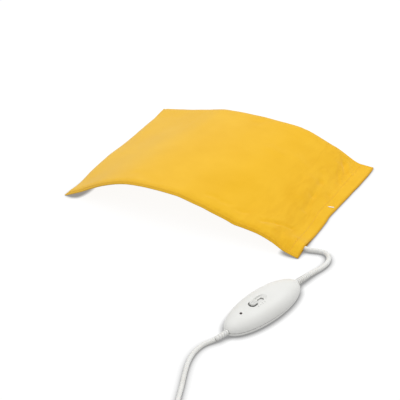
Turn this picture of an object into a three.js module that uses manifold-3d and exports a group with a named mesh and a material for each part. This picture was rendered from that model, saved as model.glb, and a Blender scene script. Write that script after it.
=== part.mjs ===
// A heating pad in its sewn cover, with a slide controller, two cords, a coil and a plug.
// Millimetres, +Z up. The origin is on the floor, under the middle of the pad and the controller.
import * as THREE from "three";
import { mergeVertices } from "three/addons/utils/BufferGeometryUtils.js";
import Module from "manifold-3d";

const wasm = await Module();
wasm.setup();

// Clearances that every piece shares
const gap = 0.3;
const overrun = 2;
const weld = 0.6;

// The pad: its cover is a sleeve, closed on three sides and open at the hem
const padLength = 400;
const padWidth = 300;
const fabric = 0.9;
const seamAllowance = 9;
const hemLength = 38;
const layerThickness = 2;
const layerRoll = 12;
const wireDiameter = 2;
const topRoll = 14;
const undersideRoll = 30;
const padPlace = { x: -17, y: 98 };

// The arch: sine waves along the pad's length, as shares of the rise, front edge and back edge
const archRise = 50;
const frontWaveShares = [0.987, 0.13, 0, -0.029];
const backWaveShares = [0.864, -0.018, -0.026, 0.023, -0.057];
const cornerLift = 21.8;
const backShift = 6.7;
const profileSteps = 120;
const lengthCells = 11;
const widthCells = 8;

// The heating wire and its cut-outs
const wireRuns = 14;
const wireInset = 20;
const cutoutSize = { length: 12, width: 5, thickness: 2 };
const cutoutRunShares = [0.25, 0.75];
const wireSides = 6;
const wireTurnSteps = 5;

// The moulding that holds the pad cord at the mouth of the cover
const padCordDiameter = 6.6;
const entryInset = 22;
const entryHalfWidth = 8;
const entryLength = 24;
const entryFade = 14;
const entrySides = 12;
const entryWidthShares = [0.7, 1, 1, 0.8, 0.55, 0.42];

// The controller: an oval shell in two halves
const shellLength = 139;
const shellWidth = 51;
const shellHeight = 23;
const partLine = 5.5;
const wall = 2.2;
const baseWall = 2;
const lip = 1.5;
const domeExponent = 2.3;
const baseLengthShare = 0.9;
const baseWidthShare = 0.86;
const shellSides = 36;
const domeSteps = 7;
const baseSteps = 3;
const controllerPlace = { x: 178, y: -180 };
const controllerAngle = 74.5;

// Screws and the bosses that they hold
const bossRadius = 3.6;
const bossMeet = 9.7;
const bossEndInset = 33.5;
const bossSideInset = 11;
const screwRadius = 1.2;
const screwHeadRadius = 2.4;
const screwHead = 1.5;
const screwBite = 5;
const counterbore = 3;
const postRadius = 2.3;
const smallScrewRadius = 0.9;
const smallHeadRadius = 1.8;
const smallHead = 1.2;
const boardPostInset = 3.5;
const clampScrewInset = 2;
const holeSides = 12;
const screwSides = 8;

// Cord exits, boots and clamps
const exitHeight = 6.4;
const mainsCordDiameter = 5.4;
const bootNeck = 0.3;
const bootFlange = 0.8;
const flangeLength = 2.5;
const flangeInset = 4.2;
const stubReach = 18;
const padBoot = { length: 24, ribs: 7, lift: -1.6, side: 0 };
const mainsBoot = { length: 17, ribs: 5, lift: -2.2, side: -3 };
const ribHeight = 0.9;
const bootSides = 10;
const ribSteps = 3;
const clampLength = 4.5;
const clampWidth = 17.4;
const clampInset = 13.5;
const clampSkin = 1.2;
const clampEar = 1.6;
const clampSeat = 0.8;

// The circuit board and what stands on it
const boardStartInset = 23;
const boardEndInset = 27.5;
const boardWidth = 21;
const boardThickness = 1.6;
const boardHeight = 6.4;
const leadRadius = 0.8;
const padLeads = { count: 3, landing: 3 };
const mainsLeads = { count: 2, landing: 11 };
const leadPitch = 2.1;
const leadReach = 5;
const partsInset = 7;
const fuseLength = 20;
const fuseRadius = 2.6;
const fuseCap = 3.4;
const fusePlace = -6.2;
const capacitorInset = 2.5;
const capacitorLength = 9;
const capacitorWidth = 6.5;
const capacitorPlace = 5.2;
const headroom = 2;
const triacPlace = 6.4;
const triacSide = 1.8;
const triacLength = 9;
const triacWidth = 10;
const triacHeight = 4.4;
const tabLength = 4.5;
const tabHeight = 1.3;
const diodeLength = 5;
const diodeRadius = 1.5;
const diodeInset = 14.7;
const resistorRadius = 1.1;
const resistorInset = 7.1;
const resistorPitch = 3;
const smallPartsPlace = 7.2;
const ledRadius = 1.5;
const ledHeight = 5;
const ledRim = 0.4;
const ledInset = 3.1;
const lensRadius = 1.6;
const lensFlange = 2.6;
const lensProud = 0.25;
const lensStep = 1;

// The slide switch: a knob in an oval recess moves a carrier over four contacts
const switchStep = 4;
const switchPlaces = 4;
const knobLength = 11;
const knobWidth = 8.4;
const knobProud = 1.1;
const knobEndPlay = 2;
const knobRidges = 3;
const ridgeRadius = 0.55;
const ridgePitch = 2.6;
const ridgeLength = 6.2;
const recessCentre = -13.5;
const recessWidth = 10.4;
const recessDepth = 2.6;
const recessDraft = 0.7;
const recessSkin = 1.4;
const recessBoss = 1.5;
const slotInset = 0.9;
const stemLength = 8;
const stemWidth = 5.6;
const shutterThickness = 1.3;
const shutterWidth = 8.4;
const prongThickness = 1.3;
const prongWidth = 5;
const postSize = 3;
const carrierLength = 12;
const carrierWidth = 6.4;
const carrierHeightShare = 0.35;
const trayWall = 1.2;
const trayFloor = 1;
const contactLength = 2.6;
const contactWidth = 5;
const contactThickness = 0.4;
const wiperLength = 5.4;
const wiperWidth = 3;
const wiperBow = 0.5;
const knobSides = 24;
const knobExponent = 3;
const knobShares = [[1, 0], [1, 0.84], [0.95, 0.94], [0.86, 1]];
const bowSteps = 4;
const lampSteps = 4;

// Free cords: each route is a list of points chosen by hand, on the floor where nothing lifts it
const padCordRoute = [
  [164.1, -30, 8.5], [169.5, -30.1, 6.8], [175.6, -30.4, 4.8], [182.4, -29.6, 3.6],
  [189.3, -27.4, 3.35], [195.9, -25.6, 3.35], [202.9, -25.6, 3.35], [209.3, -29.9, 3.35],
  [213.6, -38, 3.35], [214.9, -47, 3.35], [213.8, -56.2, 3.35], [211.2, -65.2, 3.4],
  [208, -73.6, 3.7], [205.3, -82.2, 4.35], [203.2, -89.2, 4.85],
];
const mainsRoute = [
  [151.5, -263.3, 4], [149, -266.8, 3.3], [145.5, -271.6, 2.85], [142.4, -278, 2.75],
  [140.3, -286.9, 2.75], [139.6, -296.1, 2.75], [140.3, -305.7, 2.75], [142.1, -315.4, 2.75],
  [144.8, -325.1, 2.75], [148.7, -337, 2.75], [153.8, -351.5, 2.75], [159.9, -370.5, 2.75],
  [166.1, -389.1, 2.75], [172.3, -407.8, 2.9], [177.8, -423.7, 3.6], [181.5, -433.9, 3.95],
];
const tailRoute = [
  [141.8, -489.6, 21.65], [136, -489.6, 21.35], [128, -489.4, 18.8], [119, -488.9, 13.4],
  [110, -488.3, 7.4], [101, -487.6, 3.6], [92, -487.2, 3], [83, -486.9, 3.7],
  [76, -486.9, 5.3], [70, -487, 6.5], [65.2, -487.3, 6.85],
];
const padCordSteps = 18;
const mainsSteps = 22;
const tailSteps = 10;
const cordSides = 8;

// The coil: round turns piled in four layers, tied once
const coilCentre = { x: 147.3, y: -451.6 };
const coilRadius = 29;
const coilPitch = 5.9;
const coilLayers = 4;
const coilTurns = 12.3;
const coilStartAngle = 18.4;
const coilSteps = 24;
const coilSides = 6;
const coilLift = 1.25;
const tieThickness = 0.8;
const tieWidth = 8;
const tieAngle = 160;
const tieSlack = 0.5;

// The plug: a flat body with two round pins
const plugPlace = { x: 5.1, y: -491.5 };
const plugAngle = 184;
const plugThickness = 13.7;
const plugWidth = 35.3;
const plugLength = 36;
const plugTail = 13;
const plugShoulderShare = 0.3;
const plugBevel = 2;
const pinRadius = 2;
const pinPitch = 19;
const pinLength = 19;
const pinSeat = 8;
const pinRound = 0.6;
const plugBoot = { length: 24, ribs: 6, seat: 6 };
const plugSides = 12;

// Sizes that follow from the ones above
const cordRadius = padCordDiameter / 2;
const mainsRadius = mainsCordDiameter / 2;
const wireRadius = wireDiameter / 2;
const seamHalf = fabric + gap / 2;
const padHalf = fabric + gap + layerThickness + gap + wireRadius;
const bulge = padHalf - seamHalf;
const layerEnd = padLength - hemLength;
const sleeveEnd = layerEnd + seamAllowance;
const halfWidth = padWidth / 2;
const entryCentre = entryInset - halfWidth;
const shellHalf = shellLength / 2;
const shellSide = shellWidth / 2;
const bossX = shellHalf - bossEndInset;
const bossY = shellSide - bossSideInset;
const clampX = shellHalf - clampInset;
const stubEnd = shellHalf - stubReach;
const boardStart = boardStartInset - shellHalf;
const boardEnd = shellHalf - boardEndInset;
const ledPlace = boardStart + ledInset;
const boardTop = boardHeight + boardThickness;
const seatHeight = boardTop + gap;
const recessLength = knobLength + switchStep * (switchPlaces - 1) + 2 * knobEndPlay;
const recessFloor = shellHeight - recessDepth;
const recessUnder = recessFloor - recessSkin;
const knobPlace = recessCentre - (switchStep * (switchPlaces - 1)) / 2;
const slotLength = recessLength - 2 * slotInset;
const shutterTop = recessUnder - gap;
const shutterUnder = shutterTop - shutterThickness;
const slotWidth = stemWidth + 2 * gap;
const switchTravel = switchStep * (switchPlaces - 1);
const trayBase = seatHeight;
const contactBase = trayBase + trayFloor + gap + weld;
const wiperBase = contactBase + contactThickness + gap;
const carrierBase = wiperBase + contactThickness + wiperBow + gap;
const carrierTop = carrierBase + (shutterUnder - carrierBase) * carrierHeightShare;
const trayTop = carrierTop - gap;

// Turns an angle in degrees to radians
const radians = THREE.MathUtils.degToRad;

// A share from 0 to 1 that eases in and out
function ease(share) {
  return THREE.MathUtils.smoothstep(share, 0, 1);
}

// A share that rises like a quarter circle over a width
function roll(distance, width) {
  const share = THREE.MathUtils.clamp(distance / width, 0, 1);
  return Math.sqrt(1 - (1 - share) ** 2);
}

// Meshes from points and corner numbers
function bufferOf(points, faces) {
  const geometry = new THREE.BufferGeometry().setFromPoints(points);
  geometry.setIndex(faces.flat());
  geometry.computeVertexNormals();
  return geometry;
}

// A closed mesh becomes a solid that can be joined and cut
function solid(geometry) {
  const bare = geometry.clone();
  bare.deleteAttribute("normal");
  bare.deleteAttribute("uv");
  const merged = mergeVertices(bare);
  const vertProperties = new Float32Array(merged.attributes.position.array);
  const triVerts = new Uint32Array(merged.index.array);
  return new wasm.Manifold(new wasm.Mesh({ numProp: 3, vertProperties, triVerts }));
}

// A solid becomes a mesh again
function geometryOf(body) {
  const mesh = body.getMesh();
  const geometry = new THREE.BufferGeometry();
  geometry.setAttribute("position", new THREE.BufferAttribute(mesh.vertProperties, 3));
  geometry.setIndex(new THREE.BufferAttribute(mesh.triVerts, 1));
  geometry.computeVertexNormals();
  return geometry;
}

// Joins a list of meshes into one solid
function joined(geometries) {
  return geometries.map(solid).reduce((whole, part) => whole.add(part));
}

// A closed sheet between two surfaces over one grid of lines
function sheet(lengthLines, widthLines, upper, lower) {
  const rows = lengthLines.length;
  const columns = widthLines.length;
  const points = [upper, lower].flatMap((surface) =>
    lengthLines.flatMap((along) => widthLines.map((across) => surface(along, across))));
  const at = (side, row, column) => (side * rows + row) * columns + column;
  const faces = [];
  const quad = (a, b, c, d) => faces.push([a, b, c], [a, c, d]);
  for (let row = 0; row < rows - 1; row += 1) {
    for (let column = 0; column < columns - 1; column += 1) {
      quad(at(0, row, column), at(0, row + 1, column), at(0, row + 1, column + 1), at(0, row, column + 1));
      quad(at(1, row, column), at(1, row, column + 1), at(1, row + 1, column + 1), at(1, row + 1, column));
    }
    const last = columns - 1;
    quad(at(0, row, 0), at(1, row, 0), at(1, row + 1, 0), at(0, row + 1, 0));
    quad(at(0, row, last), at(0, row + 1, last), at(1, row + 1, last), at(1, row, last));
  }
  for (let column = 0; column < columns - 1; column += 1) {
    const last = rows - 1;
    quad(at(0, 0, column), at(0, 0, column + 1), at(1, 0, column + 1), at(1, 0, column));
    quad(at(0, last, column), at(1, last, column), at(1, last, column + 1), at(0, last, column + 1));
  }
  return bufferOf(points, faces);
}

// A closed body through a row of rings, each end closed by a fan, with a tip if one is given
function loft(rings, tip) {
  const sides = rings[0].length;
  const points = rings.flat();
  const faces = [];
  for (let ring = 0; ring < rings.length - 1; ring += 1) {
    for (let side = 0; side < sides; side += 1) {
      const next = (side + 1) % sides;
      const low = ring * sides;
      const high = low + sides;
      faces.push([low + side, low + next, high + next], [low + side, high + next, high + side]);
    }
  }
  const middle = (ring) => ring
    .reduce((sum, point) => sum.add(point), new THREE.Vector3())
    .divideScalar(sides);
  const first = points.push(middle(rings[0])) - 1;
  const end = points.push(tip ?? middle(rings.at(-1))) - 1;
  const top = (rings.length - 1) * sides;
  for (let side = 0; side < sides; side += 1) {
    const next = (side + 1) % sides;
    faces.push([first, next, side], [end, top + side, top + next]);
  }
  return bufferOf(points, faces);
}

// A flat ring of points: an ellipse, squarer as its power rises above 2
function oval(halfLength, halfBreadth, height, sides, power = 2) {
  return Array.from({ length: sides }, (_, side) => {
    const angle = (side / sides) * 2 * Math.PI;
    const c = Math.cos(angle);
    const s = Math.sin(angle);
    const x = Math.sign(c) * Math.abs(c) ** (2 / power) * halfLength;
    const y = Math.sign(s) * Math.abs(s) ** (2 / power) * halfBreadth;
    return new THREE.Vector3(x, y, height);
  });
}

// A flat ring with straight sides and round ends
function racetrack(length, width, height, centre) {
  const radius = width / 2;
  const straight = length / 2 - radius;
  return Array.from({ length: knobSides }, (_, side) => {
    const angle = ((side + 1 / 2) / knobSides) * 2 * Math.PI - Math.PI / 2;
    const end = Math.sign(Math.cos(angle)) * straight;
    return new THREE.Vector3(
      centre + end + radius * Math.cos(angle), radius * Math.sin(angle), height);
  });
}

// A box between two corners
function block(low, high) {
  const size = high.map((value, axis) => value - low[axis]);
  const geometry = new THREE.BoxGeometry(...size);
  return geometry.translate(...low.map((value, axis) => value + size[axis] / 2));
}

// An upright round bar between two heights
function post(radius, low, high, x, y, sides = holeSides) {
  const geometry = new THREE.CylinderGeometry(radius, radius, high - low, sides);
  return geometry.rotateX(Math.PI / 2).translate(x, y, (low + high) / 2);
}

// A round bar that lies along X
function bar(radius, start, end, y, z, sides = holeSides) {
  const geometry = new THREE.CylinderGeometry(radius, radius, end - start, sides);
  return geometry.rotateZ(Math.PI / 2).translate((start + end) / 2, y, z);
}

// A round body along stations of a point and a radius, its frame carried along without a twist
function sweep(stations, sides) {
  const points = stations.map((station) => station.point);
  const tangents = points.map((point, index) => {
    const before = points[Math.max(index - 1, 0)];
    const after = points[Math.min(index + 1, points.length - 1)];
    return after.clone().sub(before).normalize();
  });
  let across = new THREE.Vector3(0, 0, 1).cross(tangents[0]).normalize();
  const rings = stations.map(({ point, radius }, index) => {
    const tangent = tangents[index];
    across = across.clone().addScaledVector(tangent, -across.dot(tangent)).normalize();
    const up = tangent.clone().cross(across);
    return Array.from({ length: sides }, (_, side) => {
      const angle = ((side + 1 / 2) / sides) * 2 * Math.PI;
      return point.clone()
        .addScaledVector(across, radius * Math.cos(angle))
        .addScaledVector(up, radius * Math.sin(angle));
    });
  });
  return loft(rings);
}

// A free cord: one round section along a smooth curve through its route
function cord(route, radius, steps, sides) {
  const curve = new THREE.CatmullRomCurve3(route.map((point) => new THREE.Vector3(...point)));
  const section = new THREE.Shape(Array.from({ length: sides }, (_, side) => {
    const angle = ((side + 1 / 2) / sides) * 2 * Math.PI;
    return new THREE.Vector2(radius * Math.cos(angle), radius * Math.sin(angle));
  }));
  return new THREE.ExtrudeGeometry(section, { steps, extrudePath: curve });
}

// Height of one edge of the pad, and how far along the floor each share of its length lies
function edgeProfile(waveShares, lift) {
  const height = (share) => lift * (1 - share) ** 2 + archRise * waveShares
    .reduce((sum, wave, index) => sum + wave * Math.sin((index + 1) * Math.PI * share), 0);
  const step = padLength / profileSteps;
  const reach = [0];
  for (let index = 0; index < profileSteps; index += 1) {
    const rise = height((index + 1) / profileSteps) - height(index / profileSteps);
    reach.push(reach[index] + Math.sqrt(Math.max(step * step - rise * rise, 0)));
  }
  const centre = reach[profileSteps] / 2;
  return (share) => {
    const place = THREE.MathUtils.clamp(share, 0, 1) * profileSteps;
    const index = Math.min(Math.floor(place), profileSteps - 1);
    const x = THREE.MathUtils.lerp(reach[index], reach[index + 1], place - index) - centre;
    return { x, z: height(share) };
  };
}

const frontEdge = edgeProfile(frontWaveShares, 0);
const backEdge = edgeProfile(backWaveShares, cornerLift);

// A point at a distance from the pad's middle surface, by lengths along and across the pad
function padPoint(along, across, offset) {
  const middle = (length) => {
    const share = length / padLength;
    const back = across / padWidth + 1 / 2;
    const near = frontEdge(share);
    const far = backEdge(share);
    return new THREE.Vector3(
      THREE.MathUtils.lerp(near.x, far.x + backShift, back),
      across,
      THREE.MathUtils.lerp(near.z, far.z, back) + seamHalf);
  };
  const step = padLength / profileSteps;
  const slope = middle(Math.min(along + step, padLength)).sub(middle(Math.max(along - step, 0)));
  const normal = new THREE.Vector3(-slope.z, 0, slope.x).normalize();
  return middle(along).addScaledVector(normal, offset);
}

// How full the pad is, from 0 at a seam to 1 inside, over the width that it rounds off
function fullness(along, across, width) {
  const lengthwise = roll(Math.min(along, sleeveEnd - along), width);
  return lengthwise * roll(halfWidth - Math.abs(across), width);
}

// How far the hem is lifted over the pad cord
function hemLift(along, across) {
  const side = across < entryCentre
    ? roll(across + halfWidth, topRoll)
    : 1 - ease((across - entryCentre - entryHalfWidth) / entryFade);
  return side * ease((along - layerEnd + entryLength / 2) / (entryLength / 2 + seamAllowance));
}

// Distances of the cover's outer faces from the middle surface
function coverTop(along, across) {
  const lifted = 2 * bulge * hemLift(along, across);
  return seamHalf + Math.max(bulge * fullness(along, across, topRoll), lifted);
}

function coverUnderside(along, across) {
  return -seamHalf - bulge * fullness(along, across, undersideRoll);
}

// Half the room between the two layers of the inner pad, closed at their rim
function layerRoom(along, across) {
  const side = halfWidth - seamAllowance - Math.abs(across);
  const end = Math.min(along - seamAllowance, layerEnd - along);
  return gap / 2 + (wireRadius + gap / 2) * ease(Math.min(side, end) / layerRoll);
}

// Grid lines: close together where the pad rounds off, even between
function evenLines(start, end, cells) {
  return Array.from({ length: cells + 1 }, (_, cell) => start + ((end - start) * cell) / cells);
}

const edgeLines = [0, seamAllowance / 3, seamAllowance, topRoll];
const openLine = seamAllowance + layerRoll;
const lengthLines = [
  ...edgeLines,
  ...evenLines(openLine, sleeveEnd - openLine, lengthCells),
  ...edgeLines.map((line) => sleeveEnd - line).reverse(),
  sleeveEnd + (padLength - sleeveEnd) / 2,
  padLength,
];
const widthLines = [
  ...edgeLines.map((line) => line - halfWidth),
  openLine - halfWidth,
  entryCentre + entryHalfWidth,
  ...evenLines(entryCentre + entryHalfWidth + entryFade, halfWidth - openLine, widthCells),
  ...edgeLines.map((line) => halfWidth - line).reverse(),
];
const layerLengthLines = lengthLines.filter((line) => line >= seamAllowance && line <= layerEnd);
const layerWidthLines = widthLines
  .filter((line) => Math.abs(line) <= halfWidth - seamAllowance);

// The cover: two panels that meet at the seams
function coverTopPanel() {
  return sheet(lengthLines, widthLines,
    (along, across) => padPoint(along, across, coverTop(along, across)),
    (along, across) => padPoint(along, across, coverTop(along, across) - fabric));
}

function coverBottomPanel() {
  return sheet(lengthLines, widthLines,
    (along, across) => padPoint(along, across, coverUnderside(along, across) + fabric),
    (along, across) => padPoint(along, across, coverUnderside(along, across)));
}

// The inner pad: two layers with the heating wire between them
function padTopLayer() {
  const face = (along, across) =>
    seamHalf + bulge * fullness(along, across, topRoll) - fabric - gap;
  return sheet(layerLengthLines, layerWidthLines,
    (along, across) => padPoint(along, across, face(along, across)),
    (along, across) => padPoint(along, across, layerRoom(along, across)));
}

function padBottomLayer() {
  return sheet(layerLengthLines, layerWidthLines,
    (along, across) => padPoint(along, across, -layerRoom(along, across)),
    (along, across) => padPoint(along, across, coverUnderside(along, across) + fabric + gap));
}

// A point on the flat facets between the grid lines
function facetPoint(along, across, offset) {
  const cell = (lines, value) => {
    const index = Math.max(lines.findIndex((line) => line > value) - 1, 0);
    const share = (value - lines[index]) / (lines[index + 1] - lines[index]);
    return [lines[index], lines[index + 1], share];
  };
  const [left, right, alongShare] = cell(lengthLines, along);
  const [front, back, acrossShare] = cell(widthLines, across);
  const near = padPoint(left, front, offset).lerp(padPoint(right, front, offset), alongShare);
  const far = padPoint(left, back, offset).lerp(padPoint(right, back, offset), alongShare);
  return near.lerp(far, acrossShare);
}

// Where the wire's runs start and end
const wireLimit = layerEnd - layerRoll;
const runStart = seamAllowance + wireInset;
const runPitch = (layerEnd - wireInset - runStart) / (wireRuns - 1);
const runFront = entryCentre + wireInset;
const runBack = halfWidth - openLine - runPitch / 2;

// The heating wire: out along the front, then back in runs across the pad
function heatingWire() {
  const path = [];
  const put = (along, across) => path.push(facetPoint(along, across, 0));
  lengthLines
    .filter((line) => line > runStart + runPitch / 2 && line <= wireLimit)
    .reverse()
    .forEach((line) => put(line, entryCentre));
  put(runStart + runPitch / 2, entryCentre);
  put(runStart, entryCentre + runPitch / 2);
  for (let run = 0; run < wireRuns; run += 1) {
    const outward = run % 2 === 0;
    const along = runStart + run * runPitch;
    const [from, to] = outward ? [runFront, runBack] : [runBack, runFront];
    put(along, from);
    put(along, (from + to) / 2);
    put(along, to);
    for (let step = 1; step < wireTurnSteps && run < wireRuns - 1; step += 1) {
      const angle = (step / wireTurnSteps) * Math.PI;
      const beyond = (outward ? 1 : -1) * Math.sin(angle) * (runPitch / 2);
      put(along + (runPitch / 2) * (1 - Math.cos(angle)), to + beyond);
    }
  }
  put(wireLimit, entryCentre + entryHalfWidth);
  return sweep(path.map((point) => ({ point, radius: wireRadius })), wireSides);
}

// Flat thermal cut-outs between two runs of the wire
function thermalCutouts() {
  const half = cutoutSize.thickness / 2;
  return cutoutRunShares.map((share) => {
    const run = Math.floor(share * wireRuns) + 1 / 2;
    const along = runStart + run * runPitch;
    const lines = [along - cutoutSize.width / 2, along + cutoutSize.width / 2];
    const across = [-cutoutSize.length / 2, cutoutSize.length / 2];
    return sheet(lines, across,
      (length, width) => facetPoint(length, width, half),
      (length, width) => facetPoint(length, width, -half));
  });
}

// The moulding that anchors the pad cord, lofted from a flat grip to the cord
function cordEntry() {
  const rings = entryWidthShares.map((share, index) => {
    const along = layerEnd + gap + (entryLength * index) / (entryWidthShares.length - 1);
    const top = coverTop(along, entryCentre);
    const centre = (top + coverUnderside(along, entryCentre)) / 2;
    return Array.from({ length: entrySides }, (_, side) => {
      const angle = ((side + 1 / 2) / entrySides) * 2 * Math.PI;
      const across = entryCentre + entryHalfWidth * share * Math.cos(angle);
      return facetPoint(along, across, centre + cordRadius * Math.sin(angle));
    });
  });
  return loft(rings);
}

// A rounded shell form on an oval base, with a straight skirt below it if one is given
function dome(halfLength, halfBreadth, base, top, skirt = 0) {
  const rings = skirt > 0 ? [oval(halfLength, halfBreadth, base - skirt, shellSides)] : [];
  for (let step = 0; step < domeSteps; step += 1) {
    const angle = (step / domeSteps) * (Math.PI / 2);
    const spread = Math.cos(angle) ** (2 / domeExponent);
    const height = base + (top - base) * Math.sin(angle) ** (2 / domeExponent);
    rings.push(oval(halfLength * spread, halfBreadth * spread, height, shellSides));
  }
  return loft(rings, new THREE.Vector3(0, 0, top));
}

// The shallow lower form: a flat oval that curves out to the rim
function dish(halfLength, halfBreadth, floor, rim, rise) {
  const rings = [];
  for (let step = 0; step <= baseSteps; step += 1) {
    const angle = (step / baseSteps) * (Math.PI / 2);
    const spread = Math.sin(angle);
    rings.push(oval(
      halfLength * THREE.MathUtils.lerp(baseLengthShare, 1, spread),
      halfBreadth * THREE.MathUtils.lerp(baseWidthShare, 1, spread),
      floor + (rim - floor) * (1 - Math.cos(angle)),
      shellSides));
  }
  if (rise > 0) {
    rings.push(oval(halfLength, halfBreadth, rim + rise, shellSides));
  }
  return loft(rings);
}

// An upright oval disc
function ovalDisc(inset, low, high) {
  return loft([low, high].map((height) =>
    oval(shellHalf - inset, shellSide - inset, height, shellSides)));
}

// The four places of the shell screws
const bossPlaces = [-1, 1].flatMap((end) =>
  [-1, 1].map((side) => [end * bossX, side * bossY]));
const boardPosts = [
  [boardStart + boardPostInset + partsInset - gap, boardPostInset - boardWidth / 2],
  [boardEnd - boardPostInset - 2 * gap, boardWidth / 2 - boardPostInset],
];
const clampPosts = [-1, 1].flatMap((end) => [-1, 1].map((side) =>
  [end * clampX, side * (clampWidth / 2 - clampScrewInset)]));

// Holes at both ends that the boots' necks pass through
function exitHoles() {
  const hole = (radius, sign) => {
    const ends = [sign * (shellHalf + overrun), sign * (shellHalf - wall - flangeInset)];
    return bar(radius + bootNeck + gap, Math.min(...ends), Math.max(...ends), 0, exitHeight);
  };
  return joined([hole(cordRadius, 1), hole(mainsRadius, -1)]);
}

// The recess of the slide, wider at the top
function recessCut() {
  const tall = recessDepth + overrun;
  const widen = (recessDraft * tall) / recessDepth;
  return loft([
    racetrack(recessLength - recessDraft, recessWidth - recessDraft, recessFloor, recessCentre),
    racetrack(recessLength - recessDraft + widen, recessWidth - recessDraft + widen,
      recessFloor + tall, recessCentre),
  ]);
}

// The upper shell: a thin dome with a lip, screw bosses, the slide's recess and the lens hole
function controllerTop() {
  const outside = solid(dome(shellHalf, shellSide, partLine, shellHeight));
  const inside = solid(dome(shellHalf - wall, shellSide - wall, partLine, shellHeight - wall,
    lip + overrun));
  const rim = solid(ovalDisc(wall / 2 + gap, partLine - lip, partLine + weld));
  const bosses = bossPlaces.map(([x, y]) => post(bossRadius, bossMeet + gap, shellHeight, x, y));
  const pocket = loft([recessUnder, shellHeight].map((height) =>
    racetrack(recessLength + recessBoss, recessWidth + recessBoss, height, recessCentre)));
  const within = joined([...bosses, pocket]).intersect(outside);
  const slot = loft([recessUnder - overrun, recessFloor + overrun].map((height) =>
    racetrack(slotLength, slotWidth, height, recessCentre)));
  const cuts = joined([
    recessCut(),
    slot,
    post(lensRadius + gap, boardTop, shellHeight + overrun, ledPlace, 0),
    ...bossPlaces.map(([x, y]) =>
      post(screwRadius + gap, bossMeet, bossMeet + screwBite + 2 * gap, x, y)),
  ]);
  return geometryOf(outside.add(rim).subtract(inside).add(within)
    .subtract(cuts).subtract(exitHoles()));
}

// The lower shell: a flat dish with a rebate for the lip, bosses, board posts and clamp posts
function controllerBottom() {
  const outside = solid(dish(shellHalf, shellSide, 0, partLine - gap, 0));
  const inside = solid(dish(shellHalf - wall, shellSide - wall, baseWall, partLine, overrun));
  const rebate = solid(ovalDisc(wall / 2, partLine - lip - gap, partLine + overrun));
  const bosses = bossPlaces.map(([x, y]) => post(bossRadius, weld, bossMeet, x, y));
  const boards = boardPosts.map(([x, y]) => post(postRadius, weld, boardHeight - gap, x, y));
  const clamps = clampPosts.map(([x, y]) =>
    post(postRadius, weld, exitHeight + clampSeat - gap, x, y));
  const holes = [
    ...bossPlaces.flatMap(([x, y]) => [
      post(screwHeadRadius + gap, -overrun, counterbore, x, y),
      post(screwRadius + gap, 0, bossMeet + overrun, x, y),
    ]),
    ...boardPosts.map(([x, y]) =>
      post(smallScrewRadius + gap, baseWall, boardHeight + overrun, x, y)),
    ...clampPosts.map(([x, y]) =>
      post(smallScrewRadius + gap, baseWall, boardHeight + overrun, x, y)),
  ];
  return geometryOf(outside.subtract(inside).subtract(rebate)
    .add(joined([...bosses, ...boards, ...clamps]))
    .subtract(joined(holes)).subtract(exitHoles()));
}

// Screws: a round head and a shank, head down or head up
function screw(radius, headRadius, head, low, high, x, y, headDown) {
  const seat = headDown ? low + head : high - head;
  const parts = headDown
    ? [post(headRadius, low, seat, x, y, screwSides),
      post(radius, seat - weld, high, x, y, screwSides)]
    : [post(headRadius, seat, high, x, y, screwSides),
      post(radius, low, seat + weld, x, y, screwSides)];
  return geometryOf(joined(parts));
}

function shellScrews() {
  const low = counterbore - gap - screwHead;
  return bossPlaces.map(([x, y]) =>
    screw(screwRadius, screwHeadRadius, screwHead, low, bossMeet + screwBite, x, y, true));
}

function boardScrews() {
  return boardPosts.map(([x, y]) =>
    screw(smallScrewRadius, smallHeadRadius, smallHead, baseWall + gap,
      seatHeight + smallHead, x, y, false));
}

function clampScrews() {
  const top = exitHeight + clampSeat + clampEar + gap + smallHead;
  return clampPosts.map(([x, y]) =>
    screw(smallScrewRadius, smallHeadRadius, smallHead, baseWall + gap, top, x, y, false));
}

// Clamps that hold the cords' ends down, each a bridge over its cord with two ears
function cordClamp(sign, radius) {
  const centre = sign * clampX;
  const start = centre - clampLength / 2;
  const end = centre + clampLength / 2;
  const low = exitHeight + clampSeat;
  const bridge = radius + gap + clampSkin;
  const body = joined([
    block([start, -clampWidth / 2, low], [end, clampWidth / 2, low + clampEar]),
    block([start, -bridge, low], [end, bridge, exitHeight + bridge]),
  ]);
  const channel = solid(bar(radius + gap, start - overrun, end + overrun, 0, exitHeight));
  const holes = joined([-1, 1].map((side) => post(smallScrewRadius + gap, exitHeight,
    low + clampEar + overrun, centre, side * (clampWidth / 2 - clampScrewInset))));
  return geometryOf(body.subtract(channel).subtract(holes));
}

// Ribs of a strain relief: rings that alternate along it as it tapers to its tip
function ribStations(curve, ribs, rootRadius, tipRadius) {
  const count = ribs * ribSteps;
  return Array.from({ length: count + 1 }, (_, index) => {
    const share = index / count;
    const proud = index % ribSteps > 0 ? ribHeight : 0;
    const taper = THREE.MathUtils.lerp(rootRadius, tipRadius, share);
    return { point: curve.getPoint(share), radius: taper + proud * (1 - share / 2) };
  });
}

// A boot: a stub under the clamp, a flange inside the wall, a neck through it and ribs outside
function boot(sign, radius, shape) {
  const at = (x) => new THREE.Vector3(sign * x, 0, exitHeight);
  const root = shellHalf + gap;
  const flangeEnd = shellHalf - wall - flangeInset;
  const neck = radius + bootNeck;
  const stations = [
    [stubEnd, radius],
    [flangeEnd - flangeLength, radius],
    [flangeEnd - flangeLength, radius + bootFlange],
    [flangeEnd, radius + bootFlange],
    [flangeEnd, neck],
    [root, neck],
  ].map(([x, size]) => ({ point: at(x), radius: size }));
  const tip = new THREE.Vector3(
    sign * (root + shape.length), sign * shape.side, exitHeight + shape.lift);
  const bend = new THREE.QuadraticBezierCurve3(at(root), at(root + shape.length / 2), tip);
  const ribs = ribStations(bend, shape.ribs, neck, neck - bootNeck);
  return sweepFrames([...stations, ...ribs], bootSides);
}

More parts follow.
